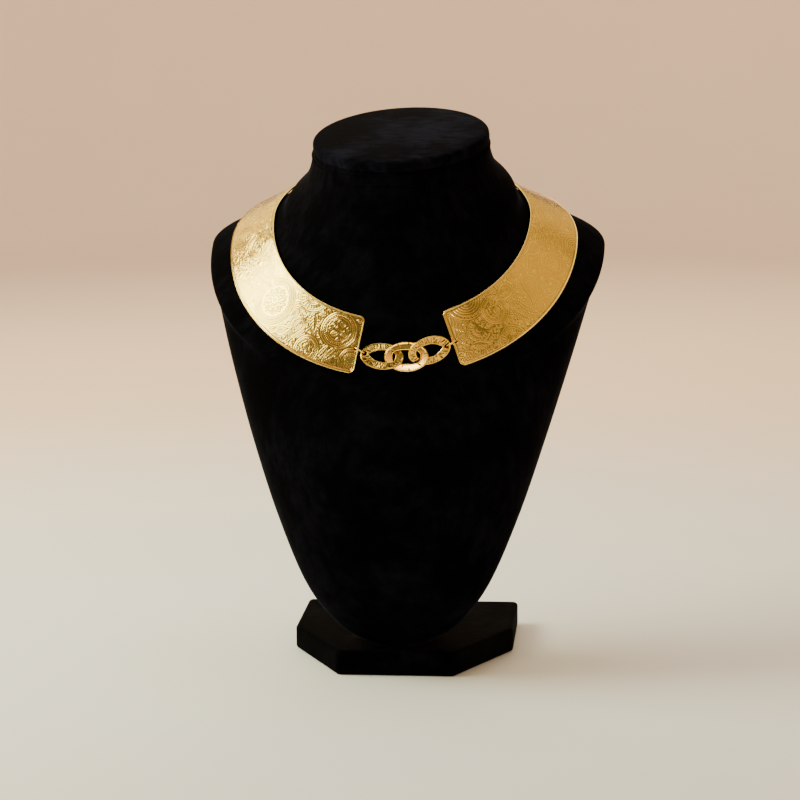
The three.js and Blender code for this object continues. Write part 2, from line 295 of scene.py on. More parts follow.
# %% [markdown]
# ## Strokes and motifs
#
# The pattern is the common stock of embossed and henna-like work: medallions, bent teardrops,
# fans, leaves with veins, scrolls, flowers and rows of beads. A motif is an outline, inside which
# the sheet is cleared, and a list of strokes. A stroke is a curve with a half-width, and a bead is
# a stroke of one point. Each motif is drawn round its own middle, then turned and set on the die.

# %% Strokes
def curve(points, step=0.12):
    """Points at even steps along a curve."""
    points = np.asarray(points, float)
    lengths = np.r_[0, np.cumsum(np.linalg.norm(np.diff(points, axis=0), axis=1))]
    places = np.linspace(0, lengths[-1], max(2, math.ceil(lengths[-1] / step)))
    return np.stack([np.interp(places, lengths, points[:, k]) for k in (0, 1)], axis=1)


def polar(radius, start=0, end=360, count=90):
    """A curve round the middle. radius is a number or a function of the angle."""
    angle = np.radians(np.linspace(start, end, count))
    reach = radius(angle) if callable(radius) else np.full(count, float(radius))
    return np.stack([reach * np.cos(angle), reach * np.sin(angle)], axis=1)


def turned(points, turn, shift=(0, 0), scale=1):
    """Points turned by some degrees, scaled, and moved."""
    c, s = math.cos(math.radians(turn)), math.sin(math.radians(turn))
    return np.asarray(points) @ np.array([[c, s], [-s, c]]) * scale + np.asarray(shift)


def scroll(radius, turns=1.5, hand=1):
    """A curl that winds in from its open end."""
    angle = np.linspace(0, 2 * math.pi * turns, 60)
    reach = radius * (1 - 0.8 * angle / angle[-1])
    return np.stack([reach * np.cos(angle), hand * reach * np.sin(angle)], axis=1)


def teardrop(length, width, bend=0.0):
    """A closed drop with its round end at the middle and its point along +X, bent sideways."""
    t = np.linspace(0, 2 * math.pi, 80)
    x = length * (0.5 - 0.5 * np.cos(t)) - 0.3 * length
    y = width / 2 * np.sin(t) * np.sin(t / 2) ** 1.3 * 1.3
    x = -x + 0.4 * length
    return np.stack([x, y + bend * (np.maximum(0, x) / length) ** 2 * length], axis=1)


def beads(points, spacing):
    """One-point strokes at even steps along a curve."""
    line = curve(points)
    length = 0.12 * len(line)
    picks = np.linspace(0, len(line) - 1, max(2, round(length / spacing)) + 1).astype(int)
    return [line[k:k + 1] for k in picks[:-1]]


print("a curl 2 mm wide is", len(curve(scroll(1))), "dabs long")

# %% [markdown]
# A motif function gives three things: the outline that is cleared, the strokes with their
# half-widths, and, for a wreath, the inner outline that stays free for small ornaments.


# %% Round motifs
def flower(radius, petals):
    """Petals round a bead."""
    petal = teardrop(radius * 0.9, radius * 0.6) + (radius * 0.3, 0)
    strokes = [(turned(petal, 360 * k / petals), LINE * 0.75) for k in range(petals)]
    return polar(radius, count=60), strokes + [(np.zeros((1, 2)), 0.34)], None


def medallion(radius, petals=8):
    """Rings, a row of beads, a scalloped ring, and a flower with curls between its petals."""
    strokes = [(polar(radius), LINE), (polar(radius - 0.95), LINE * 0.8),
               (polar(radius - 2.45), LINE * 0.8)]
    strokes += [(b, 0.29) for b in beads(polar(radius - 1.7), 0.95)]
    inner = radius - 3.1
    arch = polar(lambda a: inner - 0.55 * np.abs(np.sin(petals * a)), count=240)
    strokes.append((arch, LINE * 0.8))
    for k in range(petals):
        spoke = 360 * (k + 0.5) / petals
        petal = teardrop(inner * 0.66, inner * 0.44) + (inner * 0.34, 0)
        strokes.append((turned(petal, spoke), LINE * 0.8))
        strokes.append((turned([(inner * 0.28, 0), (inner * 0.62, 0)], spoke), LINE * 0.7))
        strokes.append((turned([(inner * 0.74, 0)], 360 * k / petals), 0.3))
        strokes.append((turned(scroll(inner * 0.1, 1.1) + (inner * 0.56, 0), 360 * k / petals),
                        LINE * 0.65))
    strokes += [(polar(inner * 0.2, count=30), LINE * 0.75), (np.zeros((1, 2)), 0.34)]
    return polar(radius + 0.6, count=60), strokes, None


def wreath(radius):
    """Two rings and a row of beads round a ground of free curls."""
    strokes = [(polar(radius), LINE), (polar(radius - 1.0), LINE * 0.8)]
    strokes += [(b, 0.29) for b in beads(polar(radius - 1.8), 0.95)]
    strokes.append((polar(lambda a: radius - 2.6 - 0.3 * np.abs(np.sin(6 * a)), count=160),
                    LINE * 0.75))
    return polar(radius + 0.6, count=60), strokes, polar(radius - 3.1, count=40)


print("a medallion of 9 mm radius has", len(medallion(9)[1]), "strokes")


# %% Leaves and drops
def paisley(length, bend=0.55):
    """A bent teardrop: a double outline, a row of beads, and a small leaf inside."""
    outer = teardrop(length, length * 0.62, bend)
    strokes = [(outer, LINE), (outer * 0.84, LINE * 0.75), (outer * 0.5, LINE * 0.8),
               (outer * 0.28, LINE * 0.7)]
    strokes += [(b, 0.27) for b in beads(outer * 0.68, 0.9)]
    strokes.append((np.zeros((1, 2)), 0.3))
    return outer * 1.08, strokes, None


def leaf(length, width, veins=6, serrate=0.0):
    """A leaf along +X with a midrib and slanting veins, its edge notched if serrate is over 0."""
    t = np.linspace(0, 1, 60)
    notch = 1 - serrate * np.abs(((t * veins * 1.5) % 1) - 0.5)
    half = width / 2 * np.sin(math.pi * t ** 0.8) * notch
    x = length * (t - 0.5)
    edge = np.r_[np.stack([x, half], 1), np.stack([x, -half], 1)[::-1]]
    strokes = [(edge, LINE * 0.85), ([(x[0], 0), (x[-1], 0)], LINE * 0.75)]
    for k in range(1, veins):
        root = k / veins * 0.8
        tip = min(0.96, root + 0.16)
        reach = width / 2 * math.sin(math.pi * tip ** 0.8) * 0.82
        for side in (1, -1):
            vein = [(length * (root - 0.5), 0), (length * (tip - 0.5), side * reach)]
            strokes.append((vein, LINE * 0.6))
    return edge * 1.08, strokes, None


print("a leaf of 12 by 5 mm has", len(leaf(12, 5)[1]), "strokes")


# %% Fans, stems and waves
def fan(radius, ribs=13):
    """Half a rosette that opens along +X: arcs, ribs between them and a beaded rim."""
    strokes = [(polar(radius * r, -100, 100), LINE * w)
               for r, w in ((1, 1), (0.87, 0.75), (0.56, 0.8), (0.44, 0.7), (0.2, 0.7))]
    strokes += [(b, 0.26) for b in beads(polar(radius * 0.935, -100, 100), 0.8)]
    for k in range(ribs):
        rib = turned([(radius * 0.6, 0), (radius * 0.83, 0)], -90 + 180 * k / (ribs - 1))
        strokes.append((rib, LINE * 0.75))
    return polar(radius * 1.06, -105, 105, 50), strokes, None


def stems(length, count=4, spacing=1.2):
    """Parallel stems along +X with curled ends, each a little longer than the last."""
    strokes = []
    for k in range(count):
        y = (k - (count - 1) / 2) * spacing
        reach = length / 2 * (0.75 + 0.25 * k / count)
        x = np.linspace(-reach, reach, 30)
        strokes.append((np.stack([x, y + 0.3 * np.sin(x * 0.9 + k)], 1), LINE * 0.9))
        strokes.append((scroll(0.6, 1.1) + (reach, y), LINE * 0.7))
    half = spacing * count / 2 + 0.3
    box = [(-length / 2, -half), (length / 2, -half), (length / 2, half), (-length / 2, half)]
    return np.array(box), strokes, None


def waves(radius, spacing=1.25):
    """Arcs one inside the other, as water rings, with small curls between the outer two."""
    reaches = [radius] + list(np.arange(radius - 1.7, 0.6, -spacing))
    strokes = [(polar(r, -95, 95), LINE * 0.85) for r in reaches]
    for k in range(int(radius * 2)):
        spoke = -85 + 170 * k / (int(radius * 2) - 1)
        strokes.append((turned(scroll(0.42, 1.0) + (radius - 0.85, 0), spoke), LINE * 0.55))
    return polar(radius * 1.05, -100, 100, 50), strokes, None


MOTIFS = {
    "medallion": medallion, "wreath": wreath, "paisley": paisley,
    "leaf": leaf, "fan": fan, "stems": stems, "waves": waves, "flower": flower,
}
print("motifs:", ", ".join(MOTIFS))

# %% [markdown]
# ## Charting the two plates
#
# The chart below is laid out one by one. A row gives a motif, how far its middle lies from the
# plate's front end and from its inner edge, how far it is turned (0 points to the nape, 90 points
# to the outer edge), and its own sizes. The large motifs lie near the front, where they are seen.
# The rest of the sheet is then filled with curls, small flowers, leaves and beads, the largest
# first, each set by chance wherever it finds room. The chance is seeded, so it is the same each
# time.

# %% The chart
LEFT_CHART = [
    ("wreath", 12.6, 9.6, 0, dict(radius=8.9)),
    ("medallion", 2.4, 23.2, 0, dict(radius=6.6, petals=7)),
    ("leaf", 12.8, 22.4, 58, dict(length=11, width=3.6, veins=7)),
    ("leaf", 16.6, 22.8, 66, dict(length=10, width=3.0, veins=6)),
    ("wreath", 24.6, 24.4, 0, dict(radius=7.0)),
    ("leaf", 27.6, 11.0, 118, dict(length=12, width=5.4, veins=6, serrate=0.5)),
    ("paisley", 34.6, 15.6, 70, dict(length=13)),
    ("fan", 36.0, 0.0, 90, dict(radius=7.2)),
    ("medallion", 55.5, 14.2, 0, dict(radius=12.2, petals=10)),
    ("paisley", 41.5, 23.2, 200, dict(length=9)),
    ("waves", 74.0, 29.0, -90, dict(radius=9.5)),
    ("paisley", 75.5, 9.0, 150, dict(length=15)),
    ("leaf", 88.0, 21.0, 40, dict(length=13, width=5, veins=7)),
    ("wreath", 95.0, 9.0, 0, dict(radius=7.6)),
    ("medallion", 109.0, 20.0, 0, dict(radius=7.4, petals=8)),
    ("paisley", 121.0, 9.5, 20, dict(length=14)),
    ("fan", 128.0, 29.0, -90, dict(radius=8)),
    ("wreath", 143.0, 13.0, 0, dict(radius=10.5)),
    ("leaf", 158.0, 22.0, 30, dict(length=13, width=5, veins=7)),
    ("paisley", 164.0, 9.0, 160, dict(length=14)),
    ("medallion", 181.0, 17.0, 0, dict(radius=9.0, petals=9)),
]
RIGHT_CHART = [
    ("stems", 5.2, 9.8, 90, dict(length=11, count=4)),
    ("waves", 15.8, 0.0, 90, dict(radius=8.8)),
    ("flower", 3.6, 24.0, 0, dict(radius=4.8, petals=9)),
    ("wreath", 27.8, 10.6, 0, dict(radius=7.0)),
    ("fan", 14.8, 15.2, 150, dict(radius=5.8, ribs=11)),
    ("leaf", 12.6, 22.6, 20, dict(length=11, width=4.4, veins=6, serrate=0.4)),
    ("fan", 27.0, 29.0, -90, dict(radius=8.2, ribs=15)),
    ("leaf", 38.4, 20.8, 66, dict(length=13, width=5.0, veins=8)),
    ("leaf", 43.6, 19.6, 72, dict(length=12, width=4.2, veins=7)),
    ("paisley", 40.0, 6.6, 160, dict(length=12)),
    ("paisley", 54.5, 12.5, 110, dict(length=15)),
    ("leaf", 56.0, 24.0, 20, dict(length=13, width=4.6, veins=7)),
    ("leaf", 64.0, 6.0, 150, dict(length=12, width=4.2, veins=6)),
    ("wreath", 74.0, 18.5, 0, dict(radius=7.2)),
    ("paisley", 76.5, 6.0, 185, dict(length=11)),
    ("leaf", 88.0, 9.0, 130, dict(length=13, width=5, veins=7)),
    ("waves", 92.0, 29.0, -90, dict(radius=9)),
    ("medallion", 105.0, 12.0, 0, dict(radius=8.6, petals=8)),
    ("paisley", 121.0, 17.0, 25, dict(length=15)),
    ("fan", 133.0, 0.0, 90, dict(radius=8)),
    ("wreath", 145.0, 17.0, 0, dict(radius=9.6)),
    ("leaf", 160.0, 8.0, 150, dict(length=13, width=5, veins=7)),
    ("paisley", 167.0, 21.0, 170, dict(length=13)),
    ("medallion", 184.0, 13.0, 0, dict(radius=8.6, petals=8)),
]
print("motifs charted:", len(LEFT_CHART), "left,", len(RIGHT_CHART), "right")

# %% [markdown]
# The small ornaments come in four sizes and are followed by single beads. In between, the ground
# that is still free gets two lines that follow every shape round, one close and one further off,
# as an engraver fills the space between two figures.

# %% Set the motifs and fill the gaps
FILLER_SIZES = (2.3, 1.8, 1.4, 1.05)
FILLER_TRIES = (2500, 5000, 8000, 12000)
BEAD_SIZE = 0.34
BEAD_TRIES = 9000
ECHOES = (0.55, 1.5)
CLEAR_RIM = 1.2


def set_motif(die, motif, along, across, turn):
    """Clears a motif's outline on the die and presses its strokes."""
    outline, strokes, hollow = motif
    scale = np.interp(across, (0, PLATE_WIDTH), die.stretch)
    place = np.array([along, across])
    shrink = np.array([1 / scale, 1])
    die.clear(turned(outline, turn) * shrink + place)
    if hollow is not None:
        die.clear(turned(hollow, turn) * shrink + place, leave_free=True)
    dabs = []
    for points, width in strokes:
        line = curve(points) if len(points) > 1 else np.asarray(points, float)
        spots = turned(line, turn) * shrink + place
        full = np.full(len(spots), 1.0)
        dabs.append(np.stack([*spots.T, full * width, full * RELIEF], axis=1))
    die.press(np.concatenate(dabs))


def filler(size, rng):
    """A small ornament of a given radius."""
    outline = polar(size, count=24)
    hand = rng.choice((-1, 1))
    kind = rng.integers(4 if size > 1.5 else 2)
    if kind == 0:
        return outline, [(scroll(size * 0.95, size * 0.9, hand), LINE * 0.8)], None
    if kind == 1:
        drop = teardrop(size * 1.9, size * 1.1, hand * 0.5)
        return outline, [(drop, LINE * 0.75), (drop * 0.4, LINE * 0.65)], None
    if kind == 2:
        return outline, flower(size * 0.95, int(rng.integers(5, 8)))[1], None
    return outline, leaf(size * 2, size * 1.1, 4)[1], None


def fill_gaps(die, rng):
    """Sets small ornaments, the largest first, wherever the sheet is still free, then beads."""
    rim = round(CLEAR_RIM / DIE_STEP)
    die.free[:, :rim] = die.free[:, -rim:] = False
    die.free[:rim] = die.free[-rim:] = False
    # The probe is a small ornament's middle, its rim, and a ring about half way out.
    probe = np.concatenate([[(0, 0)], polar(1, count=17)[:-1], polar(0.55, count=9)[:-1]])
    last = np.array(die.free.shape) - 1
    placed = 0
    for size, tries in zip((*FILLER_SIZES, BEAD_SIZE), (*FILLER_TRIES, BEAD_TRIES)):
        if size == BEAD_SIZE:
            die.echo(ECHOES, LINE * 0.75, RELIEF * 0.8)
        for spot in rng.random((tries, 2)) * last:
            cells = np.rint(spot + probe * size / DIE_STEP).astype(int).clip(0, last)
            if not die.free[cells[:, 0], cells[:, 1]].all():
                continue
            along, across = spot * DIE_STEP
            if size > BEAD_SIZE:
                set_motif(die, filler(size * 0.95, rng), along, across, rng.uniform(0, 360))
            elif die.height[cells[:, 0], cells[:, 1]].max() < RELIEF * 0.3:
                die.press([(along, across, BEAD_SIZE, RELIEF)])
            else:
                continue
            placed += 1
    return placed


print("small ornaments from", FILLER_SIZES[0], "down to", BEAD_SIZE, "mm in radius")

# %% [markdown]
# ## The plates
#
# A plate is two grids of points, the front face and the back face, that share their outline. The
# front face is fine enough for the relief. Close to the outline both faces round over into a
# smooth bead, the way a real collar's edge is rolled so that it doesn't scratch, and a narrow
# groove sets the bead off from the pattern. The field is never quite flat either: pressing and
# wear leave it in shallow waves, which make the reflections run. A wire ring's hole is drilled
# through last.

# %% The outline of a plate's end
FRONT_CORNER = 3
BACK_CORNER = 6
BACK_GAP = 1.2


def even_between(start, end, step):
    """Evenly spaced places between two ends, without the ends."""
    count = max(1, math.ceil((end - start) / step))
    return np.linspace(start, end, count + 1)[1:-1]


def corner_inset(distance, radius):
    """How far a rounded corner sets an end back, at a distance from the long edge."""
    reach = np.maximum(0, radius - distance)
    return radius - np.sqrt(radius * radius - reach * reach)


def edge_distance(x, y, radius):
    """How far a place is from the outline of a plate's end whose corners are rounded."""
    in_corner = (x < radius) & (y < radius)
    return np.where(in_corner, radius - np.hypot(radius - x, radius - y), np.minimum(x, y))


print("a front corner cuts the edge back by", float(corner_inset(0, FRONT_CORNER)), "mm")


# %% The rolled edge, and how the two faces join
# Heights are measured out of the band, in millimetres. The bead is round on top, and the field lies
# between it and the back face.
BEAD = 0.28
BEAD_ABOVE_FIELD = 0.14
FIELD_LEVEL = 0.36
GROOVE_BELOW_FIELD = 0.1
GROOVE_START = BEAD * 1.25
GROOVE_SLOPE = 0.28
PATTERN_START = 1.15
PATTERN_SLOPE = 0.35


def smooth_rise(distance, start, length):
    """0 before start, 1 past start plus length, and an even S between them."""
    share = np.clip((distance - start) / length, 0, 1)
    return share * share * (3 - 2 * share)


def zip_chains(chain_a, chain_b):
    """Triangles between two chains of points that have different numbers of steps."""
    faces, i, j = [], 0, 0
    while i < len(chain_a) - 1 or j < len(chain_b) - 1:
        step_a = (i + 1) / (len(chain_a) - 1)
        step_b = (j + 1) / (len(chain_b) - 1)
        if j == len(chain_b) - 1 or (i < len(chain_a) - 1 and step_a <= step_b):
            faces.append((chain_a[i], chain_a[i + 1], chain_b[j]))
            i += 1
        else:
            faces.append((chain_a[i], chain_b[j + 1], chain_b[j]))
            j += 1
    return faces


def bead_height(distance, field):
    """The front face's height near the outline: a round bead, a groove, then the pattern."""
    round_edge = np.sqrt(np.maximum(0, BEAD ** 2 - (BEAD - np.minimum(distance, BEAD)) ** 2))
    bead = round_edge * (FIELD_LEVEL + BEAD_ABOVE_FIELD) / BEAD
    falling = smooth_rise(distance, GROOVE_START, GROOVE_SLOPE)
    leaving = smooth_rise(distance, PATTERN_START, PATTERN_SLOPE)
    groove = (FIELD_LEVEL - GROOVE_BELOW_FIELD) * (1 - leaving) + field * leaving
    return bead * (1 - falling) + groove * falling


edge_heights = bead_height(np.array([0, BEAD, PATTERN_START, 2.0]), FIELD_LEVEL)
print("height at the edge, on the bead, in the groove and on the field:", edge_heights.round(2))

# %% One plate's grid
# The columns lie closest near the front end, where the pattern shows best: each row gives how far
# from the front end a step of that many millimetres holds.
BACK_LEVEL = -0.5
BACK_ROUNDING = 0.5
EDGE_STEPS = np.array([0, 0.02, 0.07, 0.16, 0.28, 0.42, 0.58, 0.76])
COLUMN_STEPS = ((62, 0.21), (125, 0.37), (math.inf, 0.56))
ROW_STEP = 0.222
FRONT_END_REACH = 8
BACK_END_REACH = 12
WARP = 0.07


def plate_grid(front_angle, back_angle, die, strength):
    """The points of one plate, its faces, and how high the relief is at each point."""
    side = math.copysign(1, back_angle - front_angle)
    samples = np.linspace(front_angle, back_angle, 1500)
    middle = band_point(samples, PLATE_WIDTH / 2)
    lengths = np.r_[0, np.cumsum(np.linalg.norm(np.diff(middle, axis=0), axis=1))]
    total = lengths[-1]
    edge = EDGE_STEPS
    columns, start = [*edge], edge[-1]
    for end, step in COLUMN_STEPS:
        end = min(end, total - edge[-1])
        columns += [*even_between(start, end, step), end]
        start = end
    columns = np.r_[columns[:-1], total - edge[::-1]]
    rows = np.r_[edge, even_between(edge[-1], PLATE_WIDTH - edge[-1], ROW_STEP),
                 PLATE_WIDTH - edge[::-1]]

    def placed(row_places, level):
        """Puts rows on the band. level(s, t, d) is the height out of it."""
        s, t = np.meshgrid(columns, row_places, indexing="ij")
        from_edge = np.minimum(t, PLATE_WIDTH - t)
        share = s / total
        front_inset = corner_inset(from_edge, FRONT_CORNER)
        back_inset = corner_inset(from_edge, BACK_CORNER)
        s = s + (1 - share) * front_inset * np.exp(-s / FRONT_END_REACH)
        s = s - share * back_inset * np.exp(-(total - s) / BACK_END_REACH)
        angle = np.interp(s, lengths, samples)
        point, _, _, out, speed = band_frame(angle, t)
        local = speed / band_frame(angle, PLATE_WIDTH / 2)[4]
        distance = np.minimum(edge_distance(s * local, from_edge, FRONT_CORNER),
                              edge_distance((total - s) * local, from_edge, BACK_CORNER))
        distance = np.maximum(distance, 0)
        distance[0] = distance[-1] = 0
        warp = np.sin(s / 5.1 + 0.09 * t) + np.sin(s / 8.3 - 0.21 * t + 2) + np.sin(t / 4.3 + 1)
        height = level(s, t, distance) + WARP * warp / 2 * np.clip(distance / 6, 0, 1)
        return point + out * height[..., None]

    relief = {}

    def front_level(s, t, distance):
        """The bead, the groove and the pressed pattern."""
        pressed = die.at(s, t)
        pattern = pressed * np.interp(s, *strength)
        relief["front"] = pressed / RELIEF + np.clip(1 - distance / (BEAD * 2), 0, 1)
        return bead_height(distance, FIELD_LEVEL + pattern)

    def back_level(s, t, distance):
        """A flat back whose edge rounds up to the front face's."""
        reach = BACK_ROUNDING - np.minimum(distance, BACK_ROUNDING)
        return np.sqrt(np.maximum(0, BACK_ROUNDING ** 2 - reach ** 2)) * BACK_LEVEL / BACK_ROUNDING

    front = placed(rows, front_level)
    back_rows = np.r_[0.12, 0.5, PLATE_WIDTH * np.array([0.2, 0.5, 0.8]), PLATE_WIDTH - 0.5,
                      PLATE_WIDTH - 0.12]
    back = placed(back_rows, back_level)[1:-1]
    front_ids = np.arange(front[..., 0].size).reshape(front.shape[:2])
    back_ids = front_ids.size + np.arange(back[..., 0].size).reshape(back.shape[:2])
    back_ids = np.concatenate([front_ids[1:-1, :1], back_ids, front_ids[1:-1, -1:]], axis=1)
    faces = grid_faces(front_ids) + grid_faces(back_ids[:, ::-1])
    faces += zip_chains(front_ids[0].tolist(), back_ids[0].tolist())
    faces += [f[::-1] for f in zip_chains(front_ids[-1].tolist(), back_ids[-1].tolist())]
    if side < 0:
        faces = [f[::-1] for f in faces]
    points = np.concatenate([front.reshape(-1, 3), back.reshape(-1, 3)])
    heights = np.concatenate([relief["front"].ravel(), np.zeros(back[..., 0].size)])
    return points, faces, heights


print("rows across a plate are", ROW_STEP, "mm apart")


# %% One plate's die
def plate_die(front_angle, back_angle, chart, seed):
    """Draws a plate's chart on a fresh die and fills the gaps."""
    angles = np.linspace(front_angle, back_angle, 600)
    length = np.linalg.norm(np.diff(band_point(angles, PLATE_WIDTH / 2), axis=0), axis=1).sum()
    middle = (front_angle + back_angle) / 2
    speeds = [band_frame(middle, t)[4] for t in (0, PLATE_WIDTH / 2, PLATE_WIDTH)]
    die = Die(length, (speeds[0] / speeds[1], speeds[2] / speeds[1]))
    for kind, along, across, turn, sizes in chart:
        set_motif(die, MOTIFS[kind](**sizes), along, across, turn)
    placed = fill_gaps(die, np.random.default_rng(seed))
    soft = die.height.copy()
    for axis in (0, 1):
        soft = (np.roll(soft, 1, axis) + 2 * soft + np.roll(soft, -1, axis)) / 4
    die.height = soft
    print(f"die {length:.0f} mm long, {len(chart)} motifs and {placed} small ornaments")
    return die


# %% [markdown]
# ## Gold-plated brass
#
# The plates are brass sheet, pressed, polished and plated with gold. Gold colours its own
# reflections, which is all the colour a metal has: pale yellow where it mirrors a lamp, and deep
# orange-brown where it mirrors a dim room. The tops of the relief are rubbed smooth by polishing,
# and the ground between stays a little duller. The ground is also painted a little darker than the
# lines, and the corners beside the raised lines darker still, as painted shade, so that the lines
# stand out. One plate is crisp, and the other is worn, with its painted corner shade hardly darker
# than the ground. The plating's grain is really too fine to see, so it's drawn at 0.5 to 0.8 mm,
# coarse enough to break up the gloss.

# %% Gold materials
def gold_material(name, polished, hollow, smooth, grain_mm, corner=None, cloud_mm=16.67):
    """Plated metal, bright and smooth where it's raised, and duller and painted darker in its hollows.

    With a corner colour, the mesh's own relief says what is raised: the hollows take the hollow
    colour and the corners beside the raised lines the corner colour, both as painted shade. Without
    one, the grain alone varies the surface, and its two colours are random tone.
    """
    material = bpy.data.materials.new(name)
    material.use_nodes = True
    tree = material.node_tree
    shader = tree.nodes["Principled BSDF"]
    shader.inputs["Metallic"].default_value = 1
    place = add(tree, "ShaderNodeTexCoord")
    grain = add(tree, "ShaderNodeTexNoise",
                {"Vector": place.outputs["Object"], "Scale": 1 / (grain_mm * MM), "Detail": 3,
                 "Roughness": 0.6})
    cloud = add(tree, "ShaderNodeTexNoise",
                {"Vector": place.outputs["Object"], "Scale": 1 / (cloud_mm * MM), "Detail": 4,
                 "Roughness": 0.55})
    if corner:
        height = add(tree, "ShaderNodeAttribute", attribute_name="relief").outputs["Fac"]
    else:
        height = grain.outputs["Fac"]
    # With relief, low places take the hollow colour as a painted shade; with grain, the two colours are
    # random tone.
    raised = add(tree, "ShaderNodeMapRange",
                 {"Value": height, "From Min": 0.3, "From Max": 0.75 if corner else 0.55})
    share = raised.outputs["Result"]
    colour = add(tree, "ShaderNodeMix",
                 {"Factor": share, "A": linear(hollow), "B": linear(polished)}, data_type="RGBA")
    # Beside the raised lines the colour turns to the corner colour, a darker painted shade.
    if corner:
        in_corner = add(tree, "ShaderNodeMapRange",
                        {"Value": height, "From Min": 0.02, "From Max": 0.22})
        past_corner = add(tree, "ShaderNodeMapRange",
                          {"Value": height, "From Min": 0.3, "From Max": 0.6, "To Min": 1, "To Max": 0})
        dark = add(tree, "ShaderNodeMath",
                   {0: in_corner.outputs["Result"], 1: past_corner.outputs["Result"]},
                   operation="MULTIPLY")
        colour = add(tree, "ShaderNodeMix",
                     {"Factor": dark.outputs["Value"], "A": colour.outputs["Result"],
                      "B": linear(corner)}, data_type="RGBA")
    tint = add(tree, "ShaderNodeMapRange",
               {"Value": cloud.outputs["Fac"], "From Min": 0.3, "From Max": 0.7,
                "To Min": 0.93, "To Max": 1.05})
    toned = add(tree, "ShaderNodeHueSaturation",
                {"Color": colour.outputs["Result"], "Value": tint.outputs["Result"]})
    tree.links.new(toned.outputs["Color"], shader.inputs["Base Color"])
    matt = add(tree, "ShaderNodeMapRange",
               {"Value": share, "To Min": smooth + 0.06, "To Max": smooth})
    uneven = add(tree, "ShaderNodeMath", {0: grain.outputs["Fac"], 1: 0.06}, operation="MULTIPLY")
    total = add(tree, "ShaderNodeMath", {0: matt.outputs["Result"], 1: uneven.outputs["Value"]},
                operation="ADD")
    tree.links.new(total.outputs["Value"], shader.inputs["Roughness"])
    bump = add(tree, "ShaderNodeBump",
               {"Height": grain.outputs["Fac"], "Strength": 0.16, "Distance": 0.00005})
    tree.links.new(bump.outputs["Normal"], shader.inputs["Normal"])
    return material


# On the plates the hollow and corner colours are painted shade, darkest beside the lines of the crisp
# plate.
crisp_gold = gold_material("crisply_embossed_gold_plate", "#F4DE76", "#E4BE5C", 0.08, 0.7, "#8A6428")
worn_gold = gold_material("softly_worn_gold_plate", "#F2D66C", "#E8BF5C", 0.09, 0.7, "#D6AB50")
# On the links the cuts and the corners beside them take a dark brown painted shade.
link_gold = gold_material("stamped_gold_plate", "#E6BC56", "#5A3A12", 0.1, 0.5, "#5A3A12")
wire_gold = gold_material("polished_gold_wire", "#F7D478", "#EDC066", 0.12, 0.8)
print("metals:", crisp_gold.name, worn_gold.name, link_gold.name, wire_gold.name)

# %% [markdown]
# ## Drilled holes
#
# The wire rings need a round hole in each plate's end and in each end link. A boolean with a plain
# 32-sided drill cuts it cleanly through the fine relief. Such a cut can leave slivers, so very
# short edges and faces that lie double are taken away straight after it.

# %% Cut round holes
SMALLEST_EDGE = 0.002
DRILL_SIDES = 32


def tidy_cut(mesh):
    """Takes away the slivers that a boolean cut leaves: very short edges and faces lying double."""
    clean = bmesh.new()
    clean.from_mesh(mesh)
    bmesh.ops.remove_doubles(clean, verts=clean.verts, dist=SMALLEST_EDGE * MM)
    bmesh.ops.dissolve_degenerate(clean, edges=clean.edges, dist=SMALLEST_EDGE * MM)
    bmesh.ops.triangulate(clean, faces=clean.faces)
    same_corners = {}
    for face in clean.faces:
        same_corners.setdefault(frozenset(face.verts), []).append(face)
    double = [face for faces in same_corners.values() if len(faces) > 1 for face in faces]
    bmesh.ops.delete(clean, geom=double, context="FACES")
    clean.to_mesh(mesh)
    clean.free()


def drill(piece, centre, axis, radius, depth=6):
    """Drills a round hole through a piece. centre, radius and depth are in millimetres."""
    count = DRILL_SIDES
    ring = polar(radius, 0, 360, count + 1)[:-1]
    points = [(x, y, z) for z in (-depth / 2, depth / 2) for x, y in ring]
    sides = [(k, (k + 1) % count, count + (k + 1) % count, count + k) for k in range(count)]
    ends = [tuple(range(count))[::-1], tuple(range(count, 2 * count))]
    mesh = bpy.data.meshes.new("drill")
    turn = Vector(axis).to_track_quat("Z", "Y").to_matrix()
    placed = [(turn @ Vector(p) + Vector(centre)) * MM for p in points]
    mesh.from_pydata(placed, [], sides + ends)
    cutter = bpy.data.objects.new("drill", mesh)
    bpy.context.scene.collection.objects.link(cutter)
    cut = piece.modifiers.new("hole", "BOOLEAN")
    cut.operation = "DIFFERENCE"
    cut.solver = "EXACT"
    cut.object = cutter
    depsgraph = bpy.context.evaluated_depsgraph_get()
    done = bpy.data.meshes.new_from_object(piece.evaluated_get(depsgraph), depsgraph=depsgraph)
    piece.modifiers.remove(cut)
    old, piece.data = piece.data, done
    bpy.data.meshes.remove(old)
    bpy.data.objects.remove(cutter)
    tidy_cut(done)


def set_relief(piece, heights):
    """Keeps each point's relief on the mesh, from 0 on the ground to 1 on a raised line; the gold paints
    its shade by it.
    """
    layer = piece.data.attributes.new("relief", "FLOAT", "POINT")
    layer.data.foreach_set("value", np.clip(heights, 0, 1).astype(np.float32))


print("edges under", SMALLEST_EDGE, "mm are taken away after a cut")

# %% [markdown]
# The two plates differ in their chart and in how strongly it stands. A plate's strength is given at
# five places along it, in millimetres from the front end, and runs evenly between them. The left
# plate is crisp, and stands lower only towards the nape. The right one is crisp at its front end and
# worn low from about 60 mm on.

